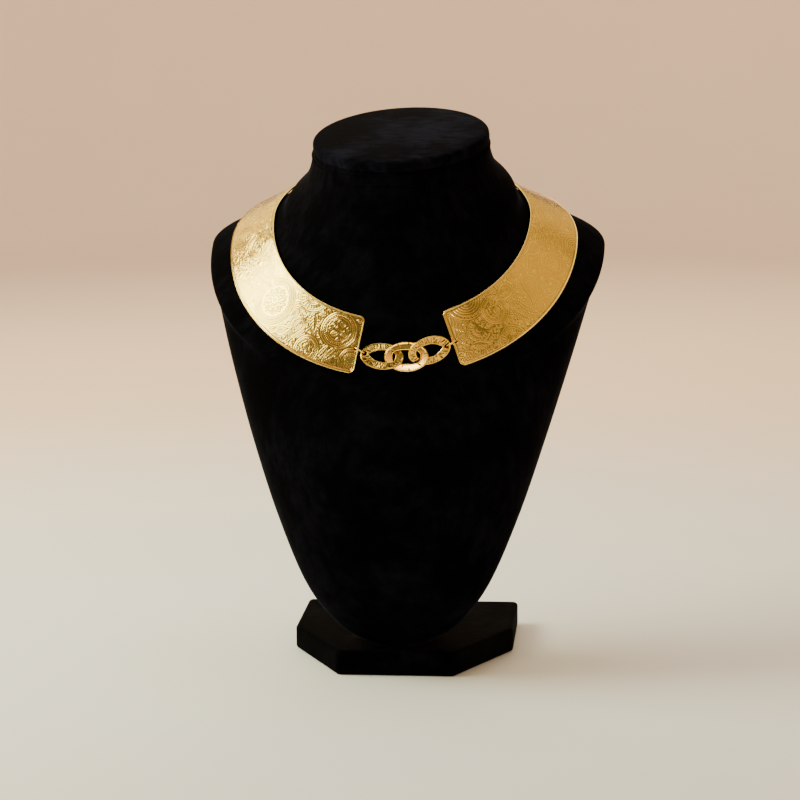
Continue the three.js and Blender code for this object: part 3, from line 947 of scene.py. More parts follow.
# %% Build both plates
RING_HOLE = dict(radius=1.05, inset=1.6, across=16.2)
CLASP_ANGLE = COLLAR_TURN + math.pi
STRENGTH_PLACES = (0, 35, 62, 90, 240)
gap_angle = BACK_GAP / 2 / float(band_frame(CLASP_ANGLE, PLATE_WIDTH / 2)[4])
PLATES = {
    "left_plate": dict(front=COLLAR_TURN - OPENING_HALF_ANGLE,
                       back=CLASP_ANGLE - 2 * math.pi + gap_angle, chart=LEFT_CHART, seed=11,
                       strength=(1.0, 1.1, 1.1, 0.8, 0.6), metal=crisp_gold),
    "right_plate": dict(front=COLLAR_TURN + OPENING_HALF_ANGLE,
                        back=CLASP_ANGLE - gap_angle, chart=RIGHT_CHART, seed=23,
                        strength=(1.05, 0.9, 0.38, 0.34, 0.45), metal=worn_gold),
}

for name, plan in PLATES.items():
    die = plate_die(plan["front"], plan["back"], plan["chart"], plan["seed"])
    points, faces, heights = plate_grid(plan["front"], plan["back"], die,
                                        (STRENGTH_PLACES, plan["strength"]))
    plate = make_piece(f"{name}_embossed", points, faces, plan["metal"], name)
    set_relief(plate, heights)
    side = math.copysign(1, plan["back"] - plan["front"])
    speed = float(band_frame(plan["front"], RING_HOLE["across"])[4])
    angle = plan["front"] + side * RING_HOLE["inset"] / speed
    point, _, _, out, _ = band_frame(angle, RING_HOLE["across"])
    drill(plate, point, out, RING_HOLE["radius"])

# %% [markdown]
# ## The links
#
# The links are stamped from flat strip, each an oval with an opening, and their faces are cut
# with short notches that run outwards like rays, so that they glitter. The middle link has few
# cuts and is nearly smooth. The opening is pointed beside a wire ring and full where the next link
# passes through it. A link is a ring of points carried round its section: two notched faces, each
# with a fine raised lip along its edges, and two rounded edges.

# %% Link outline
LINK_HALF_LENGTH = 10.8
LINK_HALF_HEIGHT = 7.3
HOLE_HALF_LENGTH = 6.8
HOLE_HALF_HEIGHT = 3.3
LINK_THICKNESS = 0.7
LINK_DOME = 0.3
LINK_RING_HOLE = dict(radius=1.15, inset=2)


def bezier(p0, p1, p2, p3, count=40):
    """A curve from p0 to p3 that is pulled towards p1 and p2."""
    t = np.linspace(0, 1, count)[:, None]
    return ((1 - t) ** 3 * p0 + 3 * (1 - t) ** 2 * t * p1 + 3 * (1 - t) * t * t * p2 + t ** 3 * p3)


def opening_outline(pointed_sides):
    """Half of the opening for each side, as a closed curve."""
    halves = []
    for side in (1, -1):
        x, y = side * HOLE_HALF_LENGTH, side * HOLE_HALF_HEIGHT
        low, end, high = np.array([0, -y]), np.array([x, 0]), np.array([0, y])
        if side in pointed_sides:
            bulge = np.array([0.5 * x, -y])
            halves.append(bezier(low, low + (bulge - low) * 2 / 3, end + (bulge - end) * 2 / 3, end))
            bulge = np.array([0.5 * x, y])
            halves.append(bezier(end, end + (bulge - end) * 2 / 3, high + (bulge - high) * 2 / 3, high))
        else:
            halves.append(bezier(low, np.array([0.75 * x, -y]), np.array([x, -0.8 * y]), end))
            halves.append(bezier(end, np.array([x, 0.8 * y]), np.array([0.75 * x, y]), high))
    return np.concatenate(halves)


print("a link is", 2 * LINK_HALF_LENGTH, "by", 2 * LINK_HALF_HEIGHT, "mm")

# %% Link mesh
# The section's rounded edge, its lip, and the cuts in the face inside the lip, in millimetres.
LINK_ROUNDING = 0.24
LIP_HEIGHT = 0.05
LIP_PLACE = 0.42
LIP_HALF_WIDTH = 0.16
FACE_START = 0.5
FACE_SLOPE = 0.2
FACE_SINK = 0.03
CUT_HALF_WIDTH = 0.24
CUT_DEPTH = 0.15
# How much closer the points across a link lie near its edges, from 0 for evenly to 1.
EDGE_CROWDING = 0.702


def link_mesh(ring_side, seed, cuts, around=420, over=22):
    """A link's points round and across, its faces, and how high each point's relief is."""
    angle = np.linspace(0, 2 * math.pi, around, endpoint=False)
    ray = np.stack([np.cos(angle), np.sin(angle)], axis=1)
    outer = 1 / np.hypot(ray[:, 0] / LINK_HALF_LENGTH, ray[:, 1] / LINK_HALF_HEIGHT)
    hole = opening_outline([ring_side])
    hole_angle = np.unwrap(np.arctan2(hole[:, 1], hole[:, 0]))
    order = np.argsort(hole_angle)
    inner = np.interp(angle, hole_angle[order], np.linalg.norm(hole, axis=1)[order],
                      period=2 * math.pi)
    rng = np.random.default_rng(seed)
    width = (outer - inner)[:, None]
    share = np.linspace(0, 1, over)[None, :]
    share = share - EDGE_CROWDING * np.sin(2 * math.pi * share) / (2 * math.pi)
    distance = np.minimum(share, 1 - share) * width
    notches = np.zeros((around, over))
    for k in range(cuts):
        at = 2 * math.pi * (k + rng.uniform(-0.3, 0.3)) / cuts
        from_inner = rng.random() < 0.5
        reach = rng.uniform(0.3, 0.75)
        off = np.angle(np.exp(1j * (angle - at))) * outer
        near = np.exp(-(off / CUT_HALF_WIDTH) ** 2)[:, None]
        along = share if from_inner else 1 - share
        notches = np.maximum(notches, near * np.clip((reach - along) / 0.08, 0, 1))
    rounding = np.sqrt(np.maximum(0, 1 - (1 - np.minimum(distance / LINK_ROUNDING, 1)) ** 2))
    lip = LIP_HEIGHT * np.exp(-((distance - LIP_PLACE) / LIP_HALF_WIDTH) ** 2)
    inside_lip = np.clip((distance - FACE_START) / FACE_SLOPE, 0, 1)
    sunk = (CUT_DEPTH * notches + FACE_SINK) * inside_lip
    top = (LINK_THICKNESS / 2) * rounding + lip - sunk
    reach = inner[:, None] + share * width
    flat = ray[:, None, :] * reach[..., None]
    dome = -LINK_DOME * (flat[..., 0] / LINK_HALF_LENGTH) ** 2
    dome -= LINK_DOME * (flat[..., 1] / LINK_HALF_HEIGHT) ** 2
    front = np.concatenate([flat, (dome + top)[..., None]], axis=-1)
    back = np.concatenate([flat, (dome - top)[..., None]], axis=-1)[:, 1:-1]
    # The cuts stand low in the relief, so the gold paints them with a dark painted shade.
    relief = 1 - notches * inside_lip
    front_ids = np.arange(around * over).reshape(around, over)
    back_ids = front_ids.size + np.arange(around * (over - 2)).reshape(around, over - 2)
    back_ids = np.concatenate([front_ids[:, :1], back_ids, front_ids[:, -1:]], axis=1)
    faces = grid_faces(closed(front_ids, 0)[:, ::-1]) + grid_faces(closed(back_ids, 0))
    points = np.concatenate([front.reshape(-1, 3), back.reshape(-1, 3)])
    return points, faces, np.concatenate([relief.ravel(), relief[:, 1:-1].ravel()])


print("a link's face sinks", FACE_SINK, "mm inside its lip, and a cut", CUT_DEPTH, "mm more")

# %% [markdown]
# Each link leans a little more than the one to its left, so that the next can pass through it.
# Angle and across place a link's middle on the band, and lift is how far it stands out from it.
# Slope turns a link in its own plane, yaw turns its right end inwards, and lean turns its upper
# half outwards, in degrees. The table is the frame's own, so the fine links lie where its do.

# %% Place the links
LINKS = {
    "left_link": dict(angle=-2.8, across=18.9, lift=2.1, slope=-7, yaw=-5.5, lean=-20, ring_side=-1,
                      cuts=96),
    "middle_link": dict(angle=5.3, across=19.5, lift=2.5, slope=-4, yaw=0, lean=8, ring_side=0,
                        cuts=9),
    "right_link": dict(angle=13.2, across=17.9, lift=2.5, slope=5.7, yaw=4.2, lean=33.5, ring_side=1,
                       cuts=104),
}


def link_placement(angle, across, lift, slope, yaw, lean, **_):
    """The rotation and the place of a link, as on the frame."""
    point, along, up, out, _ = band_frame(math.radians(angle), across)
    basis = Matrix((along, up, out)).transposed()
    for degrees, axis in ((slope, "Z"), (yaw, "Y"), (lean, "X")):
        basis = basis @ Matrix.Rotation(math.radians(degrees), 3, axis)
    return np.array(basis), point + out * lift


for number, (name, plan) in enumerate(LINKS.items()):
    points, faces, heights = link_mesh(plan["ring_side"], 40 + number, plan["cuts"])
    turn, place = link_placement(**plan)
    link = make_piece(f"{name}_stamped", points @ turn.T + place, faces, link_gold, name)
    set_relief(link, heights)
    if plan["ring_side"]:
        hole = np.array([plan["ring_side"] * (LINK_HALF_LENGTH - LINK_RING_HOLE["inset"]), 0, 0])
        drill(link, turn @ hole + place, turn[:, 2], LINK_RING_HOLE["radius"])

# %% [markdown]
# ## The wire rings
#
# A jump ring is a turn of round wire, cut with a saw and closed so that its two ends meet. The
# frame's rings are the right size but coarse, so each fine ring takes its middle and its axis
# from the frame's own mesh: the points of a ring spread widest along two axes and least along the
# third, and that third is the ring's own. A hairline stays open where the ends meet.

# %% Wire rings
RING_RADIUS = 2.9
WIRE_RADIUS = 0.4
SAW_CUT = math.radians(1.6)

for name in ("left_jump_ring", "right_jump_ring"):
    coarse = np.array([v.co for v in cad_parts[name].data.vertices]) / MM
    centre = coarse.mean(0)
    axes = np.linalg.svd(coarse - centre, full_matrices=False)[2]
    round_angle = np.linspace(SAW_CUT / 2, 2 * math.pi - SAW_CUT / 2, 97) + math.pi / 2
    wire_angle = np.linspace(0, 2 * math.pi, 20, endpoint=False)
    reach = RING_RADIUS + WIRE_RADIUS * np.cos(wire_angle)[None, :]
    ring = (reach[..., None] * (np.cos(round_angle)[:, None, None] * axes[0]
                                + np.sin(round_angle)[:, None, None] * axes[1])
            + (WIRE_RADIUS * np.sin(wire_angle))[None, :, None] * axes[2] + centre)
    ids = np.arange(ring[..., 0].size).reshape(ring.shape[:2])
    faces = grid_faces(closed(ids)) + [tuple(ids[0]), tuple(ids[-1][::-1])]
    if np.dot(np.cross(axes[0], axes[1]), axes[2]) < 0:
        faces = [tuple(f)[::-1] for f in faces]
    make_piece(f"{name}_wire", ring.reshape(-1, 3), faces, wire_gold, name)

# %% [markdown]
# ## Velvet over a moulded form
#
# Velvet is woven with a short standing pile. Seen straight on, light falls between the fibres and
# is lost, so black velvet is the blackest cloth there is. Seen along the surface, the fibres' sides
# catch the light, which gives a soft bright edge. Sheen is the layer of the shader that does this.
# Hands brush the pile against its lie here and there, where it shows its sides and catches more
# light. That sheen is painted into the base colour, which is mottled lighter in strokes inside
# larger patches: a painted sheen. A real pile is about 0.2 mm thick; it's drawn at 0.5 mm, coarse
# enough to break up the light.

# %% Velvet material
def velvet_material(name, ground, painted_sheen_tone, sheen_colour, sheen,
                    pile_mm=0.5, brush_mm=(9, 3, 9), patch_mm=31.25):
    """Short black pile, with a painted sheen that lightens it in strokes inside larger patches."""
    material = bpy.data.materials.new(name)
    material.use_nodes = True
    tree = material.node_tree
    shader = tree.nodes["Principled BSDF"]
    shader.inputs["Roughness"].default_value = 0.95
    shader.inputs["Specular IOR Level"].default_value = 0.02
    shader.inputs["Sheen Weight"].default_value = sheen
    shader.inputs["Sheen Roughness"].default_value = 0.24
    shader.inputs["Sheen Tint"].default_value = linear(sheen_colour)
    place = add(tree, "ShaderNodeTexCoord")
    stretched = add(tree, "ShaderNodeMapping",
                    {"Vector": place.outputs["Object"],
                     "Rotation": (0.3, 0.2, 0.6),
                     "Scale": [1 / (size * MM) for size in brush_mm]})
    strokes = add(tree, "ShaderNodeTexNoise",
                  {"Vector": stretched.outputs["Vector"], "Scale": 1, "Detail": 5, "Roughness": 0.65})
    patches = add(tree, "ShaderNodeTexNoise",
                  {"Vector": place.outputs["Object"], "Scale": 1 / (patch_mm * MM), "Detail": 3,
                   "Roughness": 0.5})
    pile = add(tree, "ShaderNodeTexNoise",
               {"Vector": place.outputs["Object"], "Scale": 1 / (pile_mm * MM), "Detail": 2})
    both = add(tree, "ShaderNodeMath", {0: strokes.outputs["Fac"], 1: patches.outputs["Fac"]},
               operation="MULTIPLY")
    # Where strokes and patches meet, the base colour turns lighter: a painted sheen of brushed pile.
    shade = add(tree, "ShaderNodeMapRange",
                {"Value": both.outputs["Value"], "From Min": 0.17, "From Max": 0.4},
                interpolation_type="SMOOTHSTEP")
    colour = add(tree, "ShaderNodeMix",
                 {"Factor": shade.outputs["Result"], "A": linear(ground), "B": linear(painted_sheen_tone)},
                 data_type="RGBA")
    tree.links.new(colour.outputs["Result"], shader.inputs["Base Color"])
    soft = add(tree, "ShaderNodeBump",
               {"Height": strokes.outputs["Fac"], "Strength": 0.3, "Distance": 0.0008})
    fibres = add(tree, "ShaderNodeBump",
                 {"Height": pile.outputs["Fac"], "Normal": soft.outputs["Normal"],
                  "Strength": 0.45, "Distance": 0.0002})
    tree.links.new(fibres.outputs["Normal"], shader.inputs["Normal"])
    return material


# The second colour of each cloth is a painted sheen, lightest on the cap.
bust_velvet = velvet_material("black_velvet_on_bust", "#010102", "#09090F", "#8E98C0", 0.1)
cap_velvet = velvet_material("black_velvet_on_cap_with_painted_sheen", "#030307", "#13141F", "#8E98C0", 0.05)
foot_velvet = velvet_material("black_velvet_on_foot_with_painted_sheen", "#010102", "#090A0E", "#8E98C0", 0.03)
print("cloths:", bust_velvet.name, cap_velvet.name, foot_velvet.name)

# %% [markdown]
# ## The bust
#
# A display bust is a moulded shell that velvet is pulled over. It could be sculpted, but its shape
# is even, so it is lofted through ovals, each in a plane that leans forward: almost level at the
# tip, steep at the shoulders, and nearly level again at the top of the neck. The rows are the
# frame's; here the loft runs through them in many small steps. The velvet is pulled tight over the
# form, and only under the cap, where it is drawn in, do a few soft folds run round the neck.

# %% The bust's sections
# A row gives an oval's middle (y, z), how its plane leans and rolls in degrees, its half width, its
# reach to the front and to the back, and an exponent, which is 2 for an ellipse.
PIECE_GAP = 0.3
FOOT_HEIGHT = 12.5
CHEST = [
    (-38.0, FOOT_HEIGHT + PIECE_GAP, 0, 0, 8, 6, 30, 2),
    (-38.0, 15.5, 1, 0, 17, 8, 34, 2),
    (-37.0, 24.0, 3, 0, 31, 13, 38, 2),
    (-35.5, 45.0, 10, 0, 46.5, 23, 39, 2),
    (-27.5, 80.0, 15, 0, 61.5, 39, 40, 2),
    (-15.5, 120.0, 20, 0, 75, 59, 45, 2),
    (2.0, 160.0, 25, 0, 87.5, 79, 49, 1.95),
    (19.0, 190.0, 29, 0, 96.5, 98, 51, 1.85),
    (36.0, 208.5, 31, 0, 102, 117, 38, 1.98),
]
NECK = [
    (4.0, 235.5, 33, 2.0, 57.5, 54, 43.5, 2),
    (4.4, 248.5, 23, 2.3, 47.8, 46.5, 39, 2),
    (5.1, 262.2, 16, 2.3, 43.9, 40.2, 40.2, 2),
]
# How far the bust stays inside the band's outer and inner edge, at the side, front and back.
UNDER_OUTER_EDGE = (3.8, 3.8, 5.5)
UNDER_INNER_EDGE = (1.4, 6.8, 1.5)


def band_section(across, side_inset, front_inset, back_inset):
    """The bust's oval under the collar, a little inside the band at a distance across it."""
    down = across * math.sin(FRONT_DROP)
    wider = across * math.cos(FRONT_DROP)
    return (COLLAR_CENTRE[1] + down * math.sin(COLLAR_TILT),
            COLLAR_CENTRE[2] - down * math.cos(COLLAR_TILT),
            math.degrees(COLLAR_TILT), 0,
            COLLAR_HALF_WIDTH + wider - side_inset,
            FRONT_REACH + wider - front_inset,
            BACK_REACH + across * math.cos(NAPE_DROP) - back_inset, 2)


bust_rows = [*CHEST, band_section(PLATE_WIDTH, *UNDER_OUTER_EDGE),
             band_section(0, *UNDER_INNER_EDGE), *NECK]
print("the bust is lofted through", len(bust_rows), "ovals")


# %% Tools for lofting
def through_rows(rows, places):
    """A smooth curve through table rows, at places given in row numbers."""
    rows = np.asarray(rows, float)
    rows = np.concatenate([[2 * rows[0] - rows[1]], rows, [2 * rows[-1] - rows[-2]]])
    k = np.clip(np.floor(places).astype(int), 0, len(rows) - 4)
    t = (places - k)[:, None]
    p0, p1, p2, p3 = rows[k], rows[k + 1], rows[k + 2], rows[k + 3]
    return 0.5 * (2 * p1 + (p2 - p0) * t + (2 * p0 - 5 * p1 + 4 * p2 - p3) * t ** 2
                  + (3 * p1 - p0 - 3 * p2 + p3) * t ** 3)


def oval(section, angle):
    """The points of one section, as on the frame."""
    y, z, tilt, roll, half_width, front, back, exponent = section
    sine, cosine = np.sin(angle), np.cos(angle)
    across = half_width * np.sign(sine) * np.abs(sine) ** (2 / exponent)
    depth = np.where(cosine > 0, -front, back) * np.abs(cosine) ** (2 / exponent)
    tilt, roll = math.radians(tilt), math.radians(roll)
    return np.stack([across * math.cos(roll), y + depth * math.cos(tilt),
                     z + depth * math.sin(tilt) + across * math.sin(roll)], axis=1)


def fan_close(points, faces, ids, centre, flip):
    """Closes a ring of points with a fan to its middle."""
    middle = len(points)
    points.append(centre)
    for a, b in zip(ids, np.roll(ids, -1)):
        faces.append((middle, a, b) if flip else (middle, b, a))


def loft(name, rings, material, node):
    """A closed body through rings of points, the lowest first."""
    rings = np.asarray(rings)
    count, around = rings.shape[:2]
    ids = np.arange(count * around).reshape(count, around)
    faces = grid_faces(closed(ids))
    points = rings.reshape(-1, 3).tolist()
    fan_close(points, faces, ids[0], rings[0].mean(0).tolist(), True)
    fan_close(points, faces, ids[-1], rings[-1].mean(0).tolist(), False)
    return make_piece(name, points, [tuple(int(i) for i in f)[::-1] for f in faces],
                      material, node)


shoulder_line = oval(CHEST[-1], np.linspace(0, 2 * math.pi, 361))
shoulder_length = np.linalg.norm(np.diff(shoulder_line, axis=0), axis=1).sum()
print(f"round the shoulders the bust measures {shoulder_length:.0f} mm")

# %% Loft the bust
# Each fold of the drawn cloth: how far it lies below the neck's top and how far it wanders, both in
# table rows of about 14 mm, and how high it stands in millimetres. The rings lie closer from
# FOLDS_BEGIN rows below the top, so that the folds come out smooth.
CLOTH_FOLDS = [(0.1, 0.03, 0.5), (0.19, 0.05, 0.8), (0.32, 0.09, 0.4)]
FOLD_HALF_WIDTH = 0.028
FOLDS_BEGIN = 0.6

bust_angles = np.linspace(0, 2 * math.pi, 200, endpoint=False)
last_row = len(bust_rows) - 1
folds_from = last_row - FOLDS_BEGIN
bust_places = np.r_[np.linspace(0, folds_from, 170), np.linspace(folds_from, last_row, 70)[1:]]


def pulled_cloth(places, angle):
    """How far folds stand out just below the neck's top, where the cloth is drawn under the cap."""
    folds = np.zeros(places.shape[:1] + angle.shape)
    for below, wander, height in CLOTH_FOLDS:
        line = last_row - below - wander * np.sin(3 * angle + below * 40) ** 2
        fade = 0.55 + 0.45 * np.sin(2 * angle + below * 25)
        folds += height * fade * np.exp(-((places[:, None] - line) / FOLD_HALF_WIDTH) ** 2)
    return folds


bust_rings = np.array([oval(s, bust_angles) for s in through_rows(bust_rows, bust_places)])
bust_axes = bust_rings.mean(axis=1, keepdims=True)
bust_out = bust_rings - bust_axes
bust_out /= np.linalg.norm(bust_out, axis=-1, keepdims=True)
bust_rings += bust_out * pulled_cloth(bust_places, bust_angles)[..., None]
loft("bust_velvet", bust_rings, bust_velvet, "bust_form")

# %% [markdown]
# ## The top of the neck
#
# The open neck of the form is closed with a moulded disc, covered in the same velvet. Its edge is
# rounded, and the cloth is drawn down over it and caught underneath, where a narrow lip of cloth
# closes the joint with the neck. A turned profile makes it, stretched to the neck's oval.

# %% The moulded disc
CAP_CENTRE = np.array([0, 4, 266])
CAP_TILT = math.radians(16)
CAP_ROLL = math.radians(2.3)
CAP_HALF_WIDTH = 44.7
CAP_HALF_DEPTH = 41
CAP_THICKNESS = 3.6

# The profile runs from the underside's middle out to the edge and back over the top: the radius as
# a share of the disc's, and the height in millimetres above its underside.
CAP_PROFILE = [
    (0.5, 0.0), (0.9, 0.0), (0.984, -0.1), (0.988, -0.6), (0.996, -0.5), (1.0, 0.3), (1.0, 1.8),
    (0.997, 2.9), (0.985, 3.8),
    (0.962, 4.4), (0.93, 4.7), (0.885, 4.85), (0.84, 4.95), (0.75, 5.1), (0.6, 5.3), (0.3, 5.5),
    (0.08, 5.55),
]


def cap_rings(around=160, steps=90):
    """The disc's rings of points, from the underside's middle round to the top's."""
    profile = through_rows(CAP_PROFILE, np.linspace(0, len(CAP_PROFILE) - 1, steps))
    angle = np.linspace(0, 2 * math.pi, around, endpoint=False)
    roll = Matrix.Rotation(CAP_TILT, 3, "X") @ Matrix.Rotation(-CAP_ROLL, 3, "Y")
    turn = np.array(roll)
    rings = []
    for share, height in profile:
        flat = np.stack([share * CAP_HALF_WIDTH * np.sin(angle),
                         -share * CAP_HALF_DEPTH * np.cos(angle),
                         np.full(around, height - CAP_THICKNESS)], axis=1)
        rings.append(flat @ turn.T + CAP_CENTRE)
    return rings


loft("neck_cap_velvet", cap_rings(), cap_velvet, "neck_cap")

# %% [markdown]
# ## The foot
#
# The foot is a board with a square back and two corners cut off at the front, wrapped in velvet.
# The cloth rounds every edge. A bevelled block could make it, but the bust's loft serves here again.
# It takes rings of points that follow the board's outline with its corners rounded: small
# steps round the lower edge, straight up the side, and round the upper edge.

# %% The board's outline
FOOT_HALF_WIDTH = 56.5
FOOT_HALF_DEPTH = 52
FOOT_FRONT_HALF_WIDTH = 29
CHAMFER_END_Y = -2.5
FOOT_EDGE = 1.9
FOOT_CORNER = 3.0


def rounded_outline(corners, radius, inset, arc_steps=10, side_steps=24):
    """A polygon with rounded corners, moved inwards by inset, at an even number of points."""
    corners = np.asarray(corners, float)
    result = []
    for before, corner, after in zip(np.roll(corners, 1, 0), corners, np.roll(corners, -1, 0)):
        a = (before - corner) / np.linalg.norm(before - corner)
        b = (after - corner) / np.linalg.norm(after - corner)
        half = math.acos(np.clip(a @ b, -1, 1)) / 2
        centre = corner + (a + b) / np.linalg.norm(a + b) * radius / math.sin(half)
        start = math.atan2(*(corner + a * radius / math.tan(half) - centre)[::-1])
        end = math.atan2(*(corner + b * radius / math.tan(half) - centre)[::-1])
        sweep = (end - start + math.pi) % (2 * math.pi) - math.pi
        angle = start + sweep * np.linspace(0, 1, arc_steps)
        result.append(centre + max(radius - inset, 0.05) * np.stack([np.cos(angle), np.sin(angle)], 1))
    outline = np.concatenate(result)
    filled = []
    for k, point in enumerate(outline):
        following = outline[(k + 1) % len(outline)]
        steps = side_steps if (k + 1) % arc_steps == 0 else 1
        filled += [point + (following - point) * j / steps for j in range(steps)]
    return np.array(filled)


print("the board is", 2 * FOOT_HALF_WIDTH, "by", 2 * FOOT_HALF_DEPTH, "mm")

# %% The wrapped board
foot_corners = [
    (-FOOT_FRONT_HALF_WIDTH - 0.5, -FOOT_HALF_DEPTH), (FOOT_FRONT_HALF_WIDTH + 0.5, -FOOT_HALF_DEPTH),
    (FOOT_HALF_WIDTH, CHAMFER_END_Y - 0.5), (FOOT_HALF_WIDTH, FOOT_HALF_DEPTH),
    (-FOOT_HALF_WIDTH, FOOT_HALF_DEPTH), (-FOOT_HALF_WIDTH, CHAMFER_END_Y - 0.5),
]
edge_turn = np.radians(np.linspace(0, 90, 8))
foot_profile = [(6.0, 0.0)]
foot_profile += [(FOOT_EDGE * (1 - math.sin(a)), FOOT_EDGE * (1 - math.cos(a))) for a in edge_turn]
foot_profile += [(0, z) for z in (4.5, 6.5, 8.5)]
foot_profile += [(FOOT_EDGE * (1 - math.cos(a)), FOOT_HEIGHT - FOOT_EDGE * (1 - math.sin(a)))
                 for a in edge_turn]
foot_profile += [(4.0, FOOT_HEIGHT)]
foot_rings = []
for inset, height in foot_profile:
    flat = rounded_outline(foot_corners, FOOT_CORNER, min(inset, FOOT_CORNER - 0.1))
    if inset > FOOT_CORNER:
        flat = flat * (1 - (inset - FOOT_CORNER) / FOOT_HALF_DEPTH)
    foot_rings.append(np.column_stack([flat, np.full(len(flat), height)]))
loft("foot_velvet", foot_rings, foot_velvet, "bust_foot")

# %% [markdown]
# ## The clasp
#
# At the nape a small strap with a round stud at each end holds the two plates together. It is plain
# and its shape is already right on the frame, so it keeps that mesh and only takes the wire's
# polished plating.

# %% Finish the clasp
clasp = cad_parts["back_clasp"]
clasp.data.materials.clear()
clasp.data.materials.append(wire_gold)
print("clasp:", len(clasp.data.polygons), "faces in", wire_gold.name)

# %% [markdown]
# ## Floor and light
#
# The floor is a pale, seamless sweep that curves up all round, so the piece stands alone from any
# side. It is nearly white near the bust and a warm beige up the wall, and both are matt paint.

# %% The sweep's paint
SWEEP_PATCH_MM = 143


def sweep_material():
    """Matt painted board: pale near the middle and a warmer beige up the wall."""
    material = bpy.data.materials.new("matt_painted_sweep")
    material.use_nodes = True
    tree = material.node_tree
    shader = tree.nodes["Principled BSDF"]
    shader.inputs["Roughness"].default_value = 0.85
    shader.inputs["Specular IOR Level"].default_value = 0.2
    place = add(tree, "ShaderNodeTexCoord")
    distance = add(tree, "ShaderNodeVectorMath", {0: place.outputs["Object"]}, operation="LENGTH")
    far = add(tree, "ShaderNodeMapRange",
              {"Value": distance.outputs["Value"], "From Min": 0.14, "From Max": 0.9},
              interpolation_type="SMOOTHSTEP")
    mottle = add(tree, "ShaderNodeTexNoise",
                 {"Vector": place.outputs["Object"], "Scale": 1 / (SWEEP_PATCH_MM * MM), "Detail": 3})
    vary = add(tree, "ShaderNodeMapRange",
               {"Value": mottle.outputs["Fac"], "To Min": 0.97, "To Max": 1.03})
    colour = add(tree, "ShaderNodeMix",
                 {"Factor": far.outputs["Result"], "A": linear("#F3F1F0"), "B": linear("#EDD0B4")},
                 data_type="RGBA")
    toned = add(tree, "ShaderNodeHueSaturation",
                {"Color": colour.outputs["Result"], "Value": vary.outputs["Result"]})
    tree.links.new(toned.outputs["Color"], shader.inputs["Base Color"])
    return material


print("the paint varies in patches of about", SWEEP_PATCH_MM, "mm")


# %% The sweep
def make_sweep(floor_radius=1.7, wall_radius=2.3, wall_height=0.75, around=128):
    """A shallow bowl: a flat floor that curves up into a low wall."""
    bend = wall_radius - floor_radius
    turn = np.linspace(0, math.pi / 2, 16)
    profile = [(0.02, 0.0), (0.4, 0.0), (1.0, 0.0)]
    profile += [(floor_radius + bend * math.sin(a), bend * (1 - math.cos(a))) for a in turn]
    profile.append((wall_radius, wall_height))
    angle = np.linspace(0, 2 * math.pi, around, endpoint=False)
    rings = [np.stack([r * np.cos(angle), r * np.sin(angle), np.full(around, z)], 1)
             for r, z in profile]
    points = np.concatenate(rings)
    ids = np.arange(len(points)).reshape(len(profile), around)
    faces = grid_faces(closed(ids)) + [tuple(ids[0].tolist())]
    mesh = bpy.data.meshes.new("sweep")
    mesh.from_pydata(points.tolist(), [], faces)
    mesh.polygons.foreach_set("use_smooth", [True] * len(mesh.polygons))
    mesh.materials.append(sweep_material())
    sweep = bpy.data.objects.new("sweep", mesh)
    bpy.context.scene.collection.objects.link(sweep)
    print("the sweep is", 2 * wall_radius, "m across")


make_sweep()

# %% [markdown]
# ## The lamps
#
# Polished gold shows what stands round it, so the lamps are placed for what the plates mirror, and
# a band bent round a neck mirrors nearly the whole room. A large soft key at the left makes the hot
# stretch of the left plate, and weaker strips beside it let its glow fade out. Behind the key a gap
# is left before the next lamp, which draws a dark line across the plate, and then a wide warm lamp
# carries the glow to the nape. At the right one weak glow in front and two wide warm panels give
# the right plate its even orange, with a brighter one for the nape. Between those two sides the
# room is dim, so both front ends turn brown and only their raised lines shine. One soft lamp
# overhead lights the floor and the top of the neck. Two small lamps make the flash on the middle
# link and the glint on the left one. No lamp is itself visible to a camera.

# %% The lamps round the collar
AIM = Vector((0, 0, 0.2))


def area_lamp(name, place, away, width, height, power, colour):
    """A rectangular lamp at a place, with its back turned to the direction away."""
    data = bpy.data.lights.new(name, "AREA")
    data.shape = "RECTANGLE"
    data.size, data.size_y = width, height
    data.energy = power
    data.color = linear(colour)[:3]
    lamp = bpy.data.objects.new(name, data)
    lamp.location = place
    lamp.rotation_mode = "QUATERNION"
    lamp.rotation_quaternion = away.to_track_quat("Z", "Y")
    lamp.visible_camera = False
    bpy.context.scene.collection.objects.link(lamp)


def soft_lamp(name, azimuth, elevation, distance, width, height, radiance, colour):
    """A lamp that faces the collar. radiance is how bright its face looks."""
    a, e = math.radians(azimuth), math.radians(elevation)
    away = Vector((math.sin(a) * math.cos(e), -math.cos(a) * math.cos(e), math.sin(e)))
    power = radiance * math.pi * width * height
    area_lamp(name, AIM + away * distance, away, width, height, power, colour)


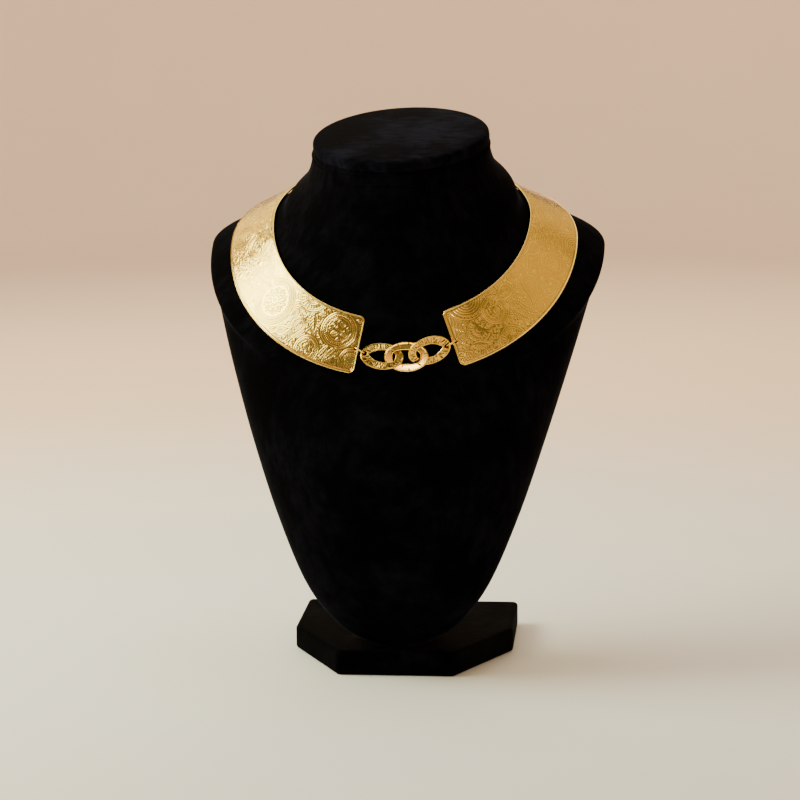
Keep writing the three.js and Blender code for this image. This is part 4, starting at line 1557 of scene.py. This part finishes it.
# A row gives a lamp's azimuth and elevation in degrees, its distance, width and height in metres,
# its radiance and its colour. Azimuth 0 is in front of the chest, and 90 is to the right.
LAMPS = [
    ("key", -86, 35, 1.1, 0.56, 0.62, 16.0, "#F8FFDC"),
    ("key_front_edge", -63.5, 35, 1.12, 0.22, 0.6, 2.7, "#FCF8C0"),
    ("key_far_front_edge", -52, 35, 1.12, 0.14, 0.6, 0.4, "#FFE6AE"),
    ("key_back_edge", -105, 35, 1.12, 0.16, 0.6, 4.0, "#FFF4C0"),
    ("back_left", -150, 33, 1.2, 1.24, 0.7, 2.3, "#FFE4A2"),
    ("right_front_glow", 24, 30, 1.3, 0.42, 0.5, 1.0, "#FFDCA0"),
    ("right_panel", 84, 42, 1.2, 1.0, 0.8, 0.76, "#FFD470"),
    ("right_back_panel", 143, 40, 1.3, 0.9, 0.8, 0.8, "#FFD680"),
    ("right_nape_panel", 172, 37, 1.2, 0.4, 0.6, 3.6, "#FFE4B4"),
    ("overhead", 180, 78, 1.3, 0.9, 0.9, 2.55, "#FDFCFF"),
    ("flash_on_middle_link", 3.5, 5, 1.1, 0.12, 0.12, 17.0, "#F6FAFF"),
    ("glint_on_left_link", -50, 63, 1.1, 0.16, 0.16, 3.0, "#FFF2D0"),
]
for row in LAMPS:
    soft_lamp(*row)
print("lamps round the collar:", len(LAMPS))

# %% [markdown]
# The wall needs light of its own, or it would be as dim as the room. A ring of lamps hangs over the
# bust and shines outwards and down at it. An area lamp is dark on its back, so the gold hardly
# mirrors them. A weak, warm world fills the rest, as the walls of a room do.

# %% The wall's lamps and the dim room
WALL_LAMPS = 8
WALL_LAMP_SLOPE = 0.6


def wall_lamp(azimuth, radius=0.9, height=1.1, power=8.6):
    """A lamp that faces the wall and turns its dark back to the collar."""
    a = math.radians(azimuth)
    out = Vector((math.sin(a), -math.cos(a), 0))
    area_lamp(f"wall_{azimuth:.0f}", out * radius + Vector((0, 0, height)),
              -out + Vector((0, 0, WALL_LAMP_SLOPE)), 0.9, 0.4, power, "#FFF2E2")


for number in range(WALL_LAMPS):
    wall_lamp(360 * number / WALL_LAMPS)

world = bpy.data.worlds.new("dim_room")
world.use_nodes = True
room = world.node_tree.nodes["Background"]
room.inputs["Color"].default_value = linear("#E0D0B8")
room.inputs["Strength"].default_value = 0.29
bpy.context.scene.world = world
print("lamps on the wall:", WALL_LAMPS)
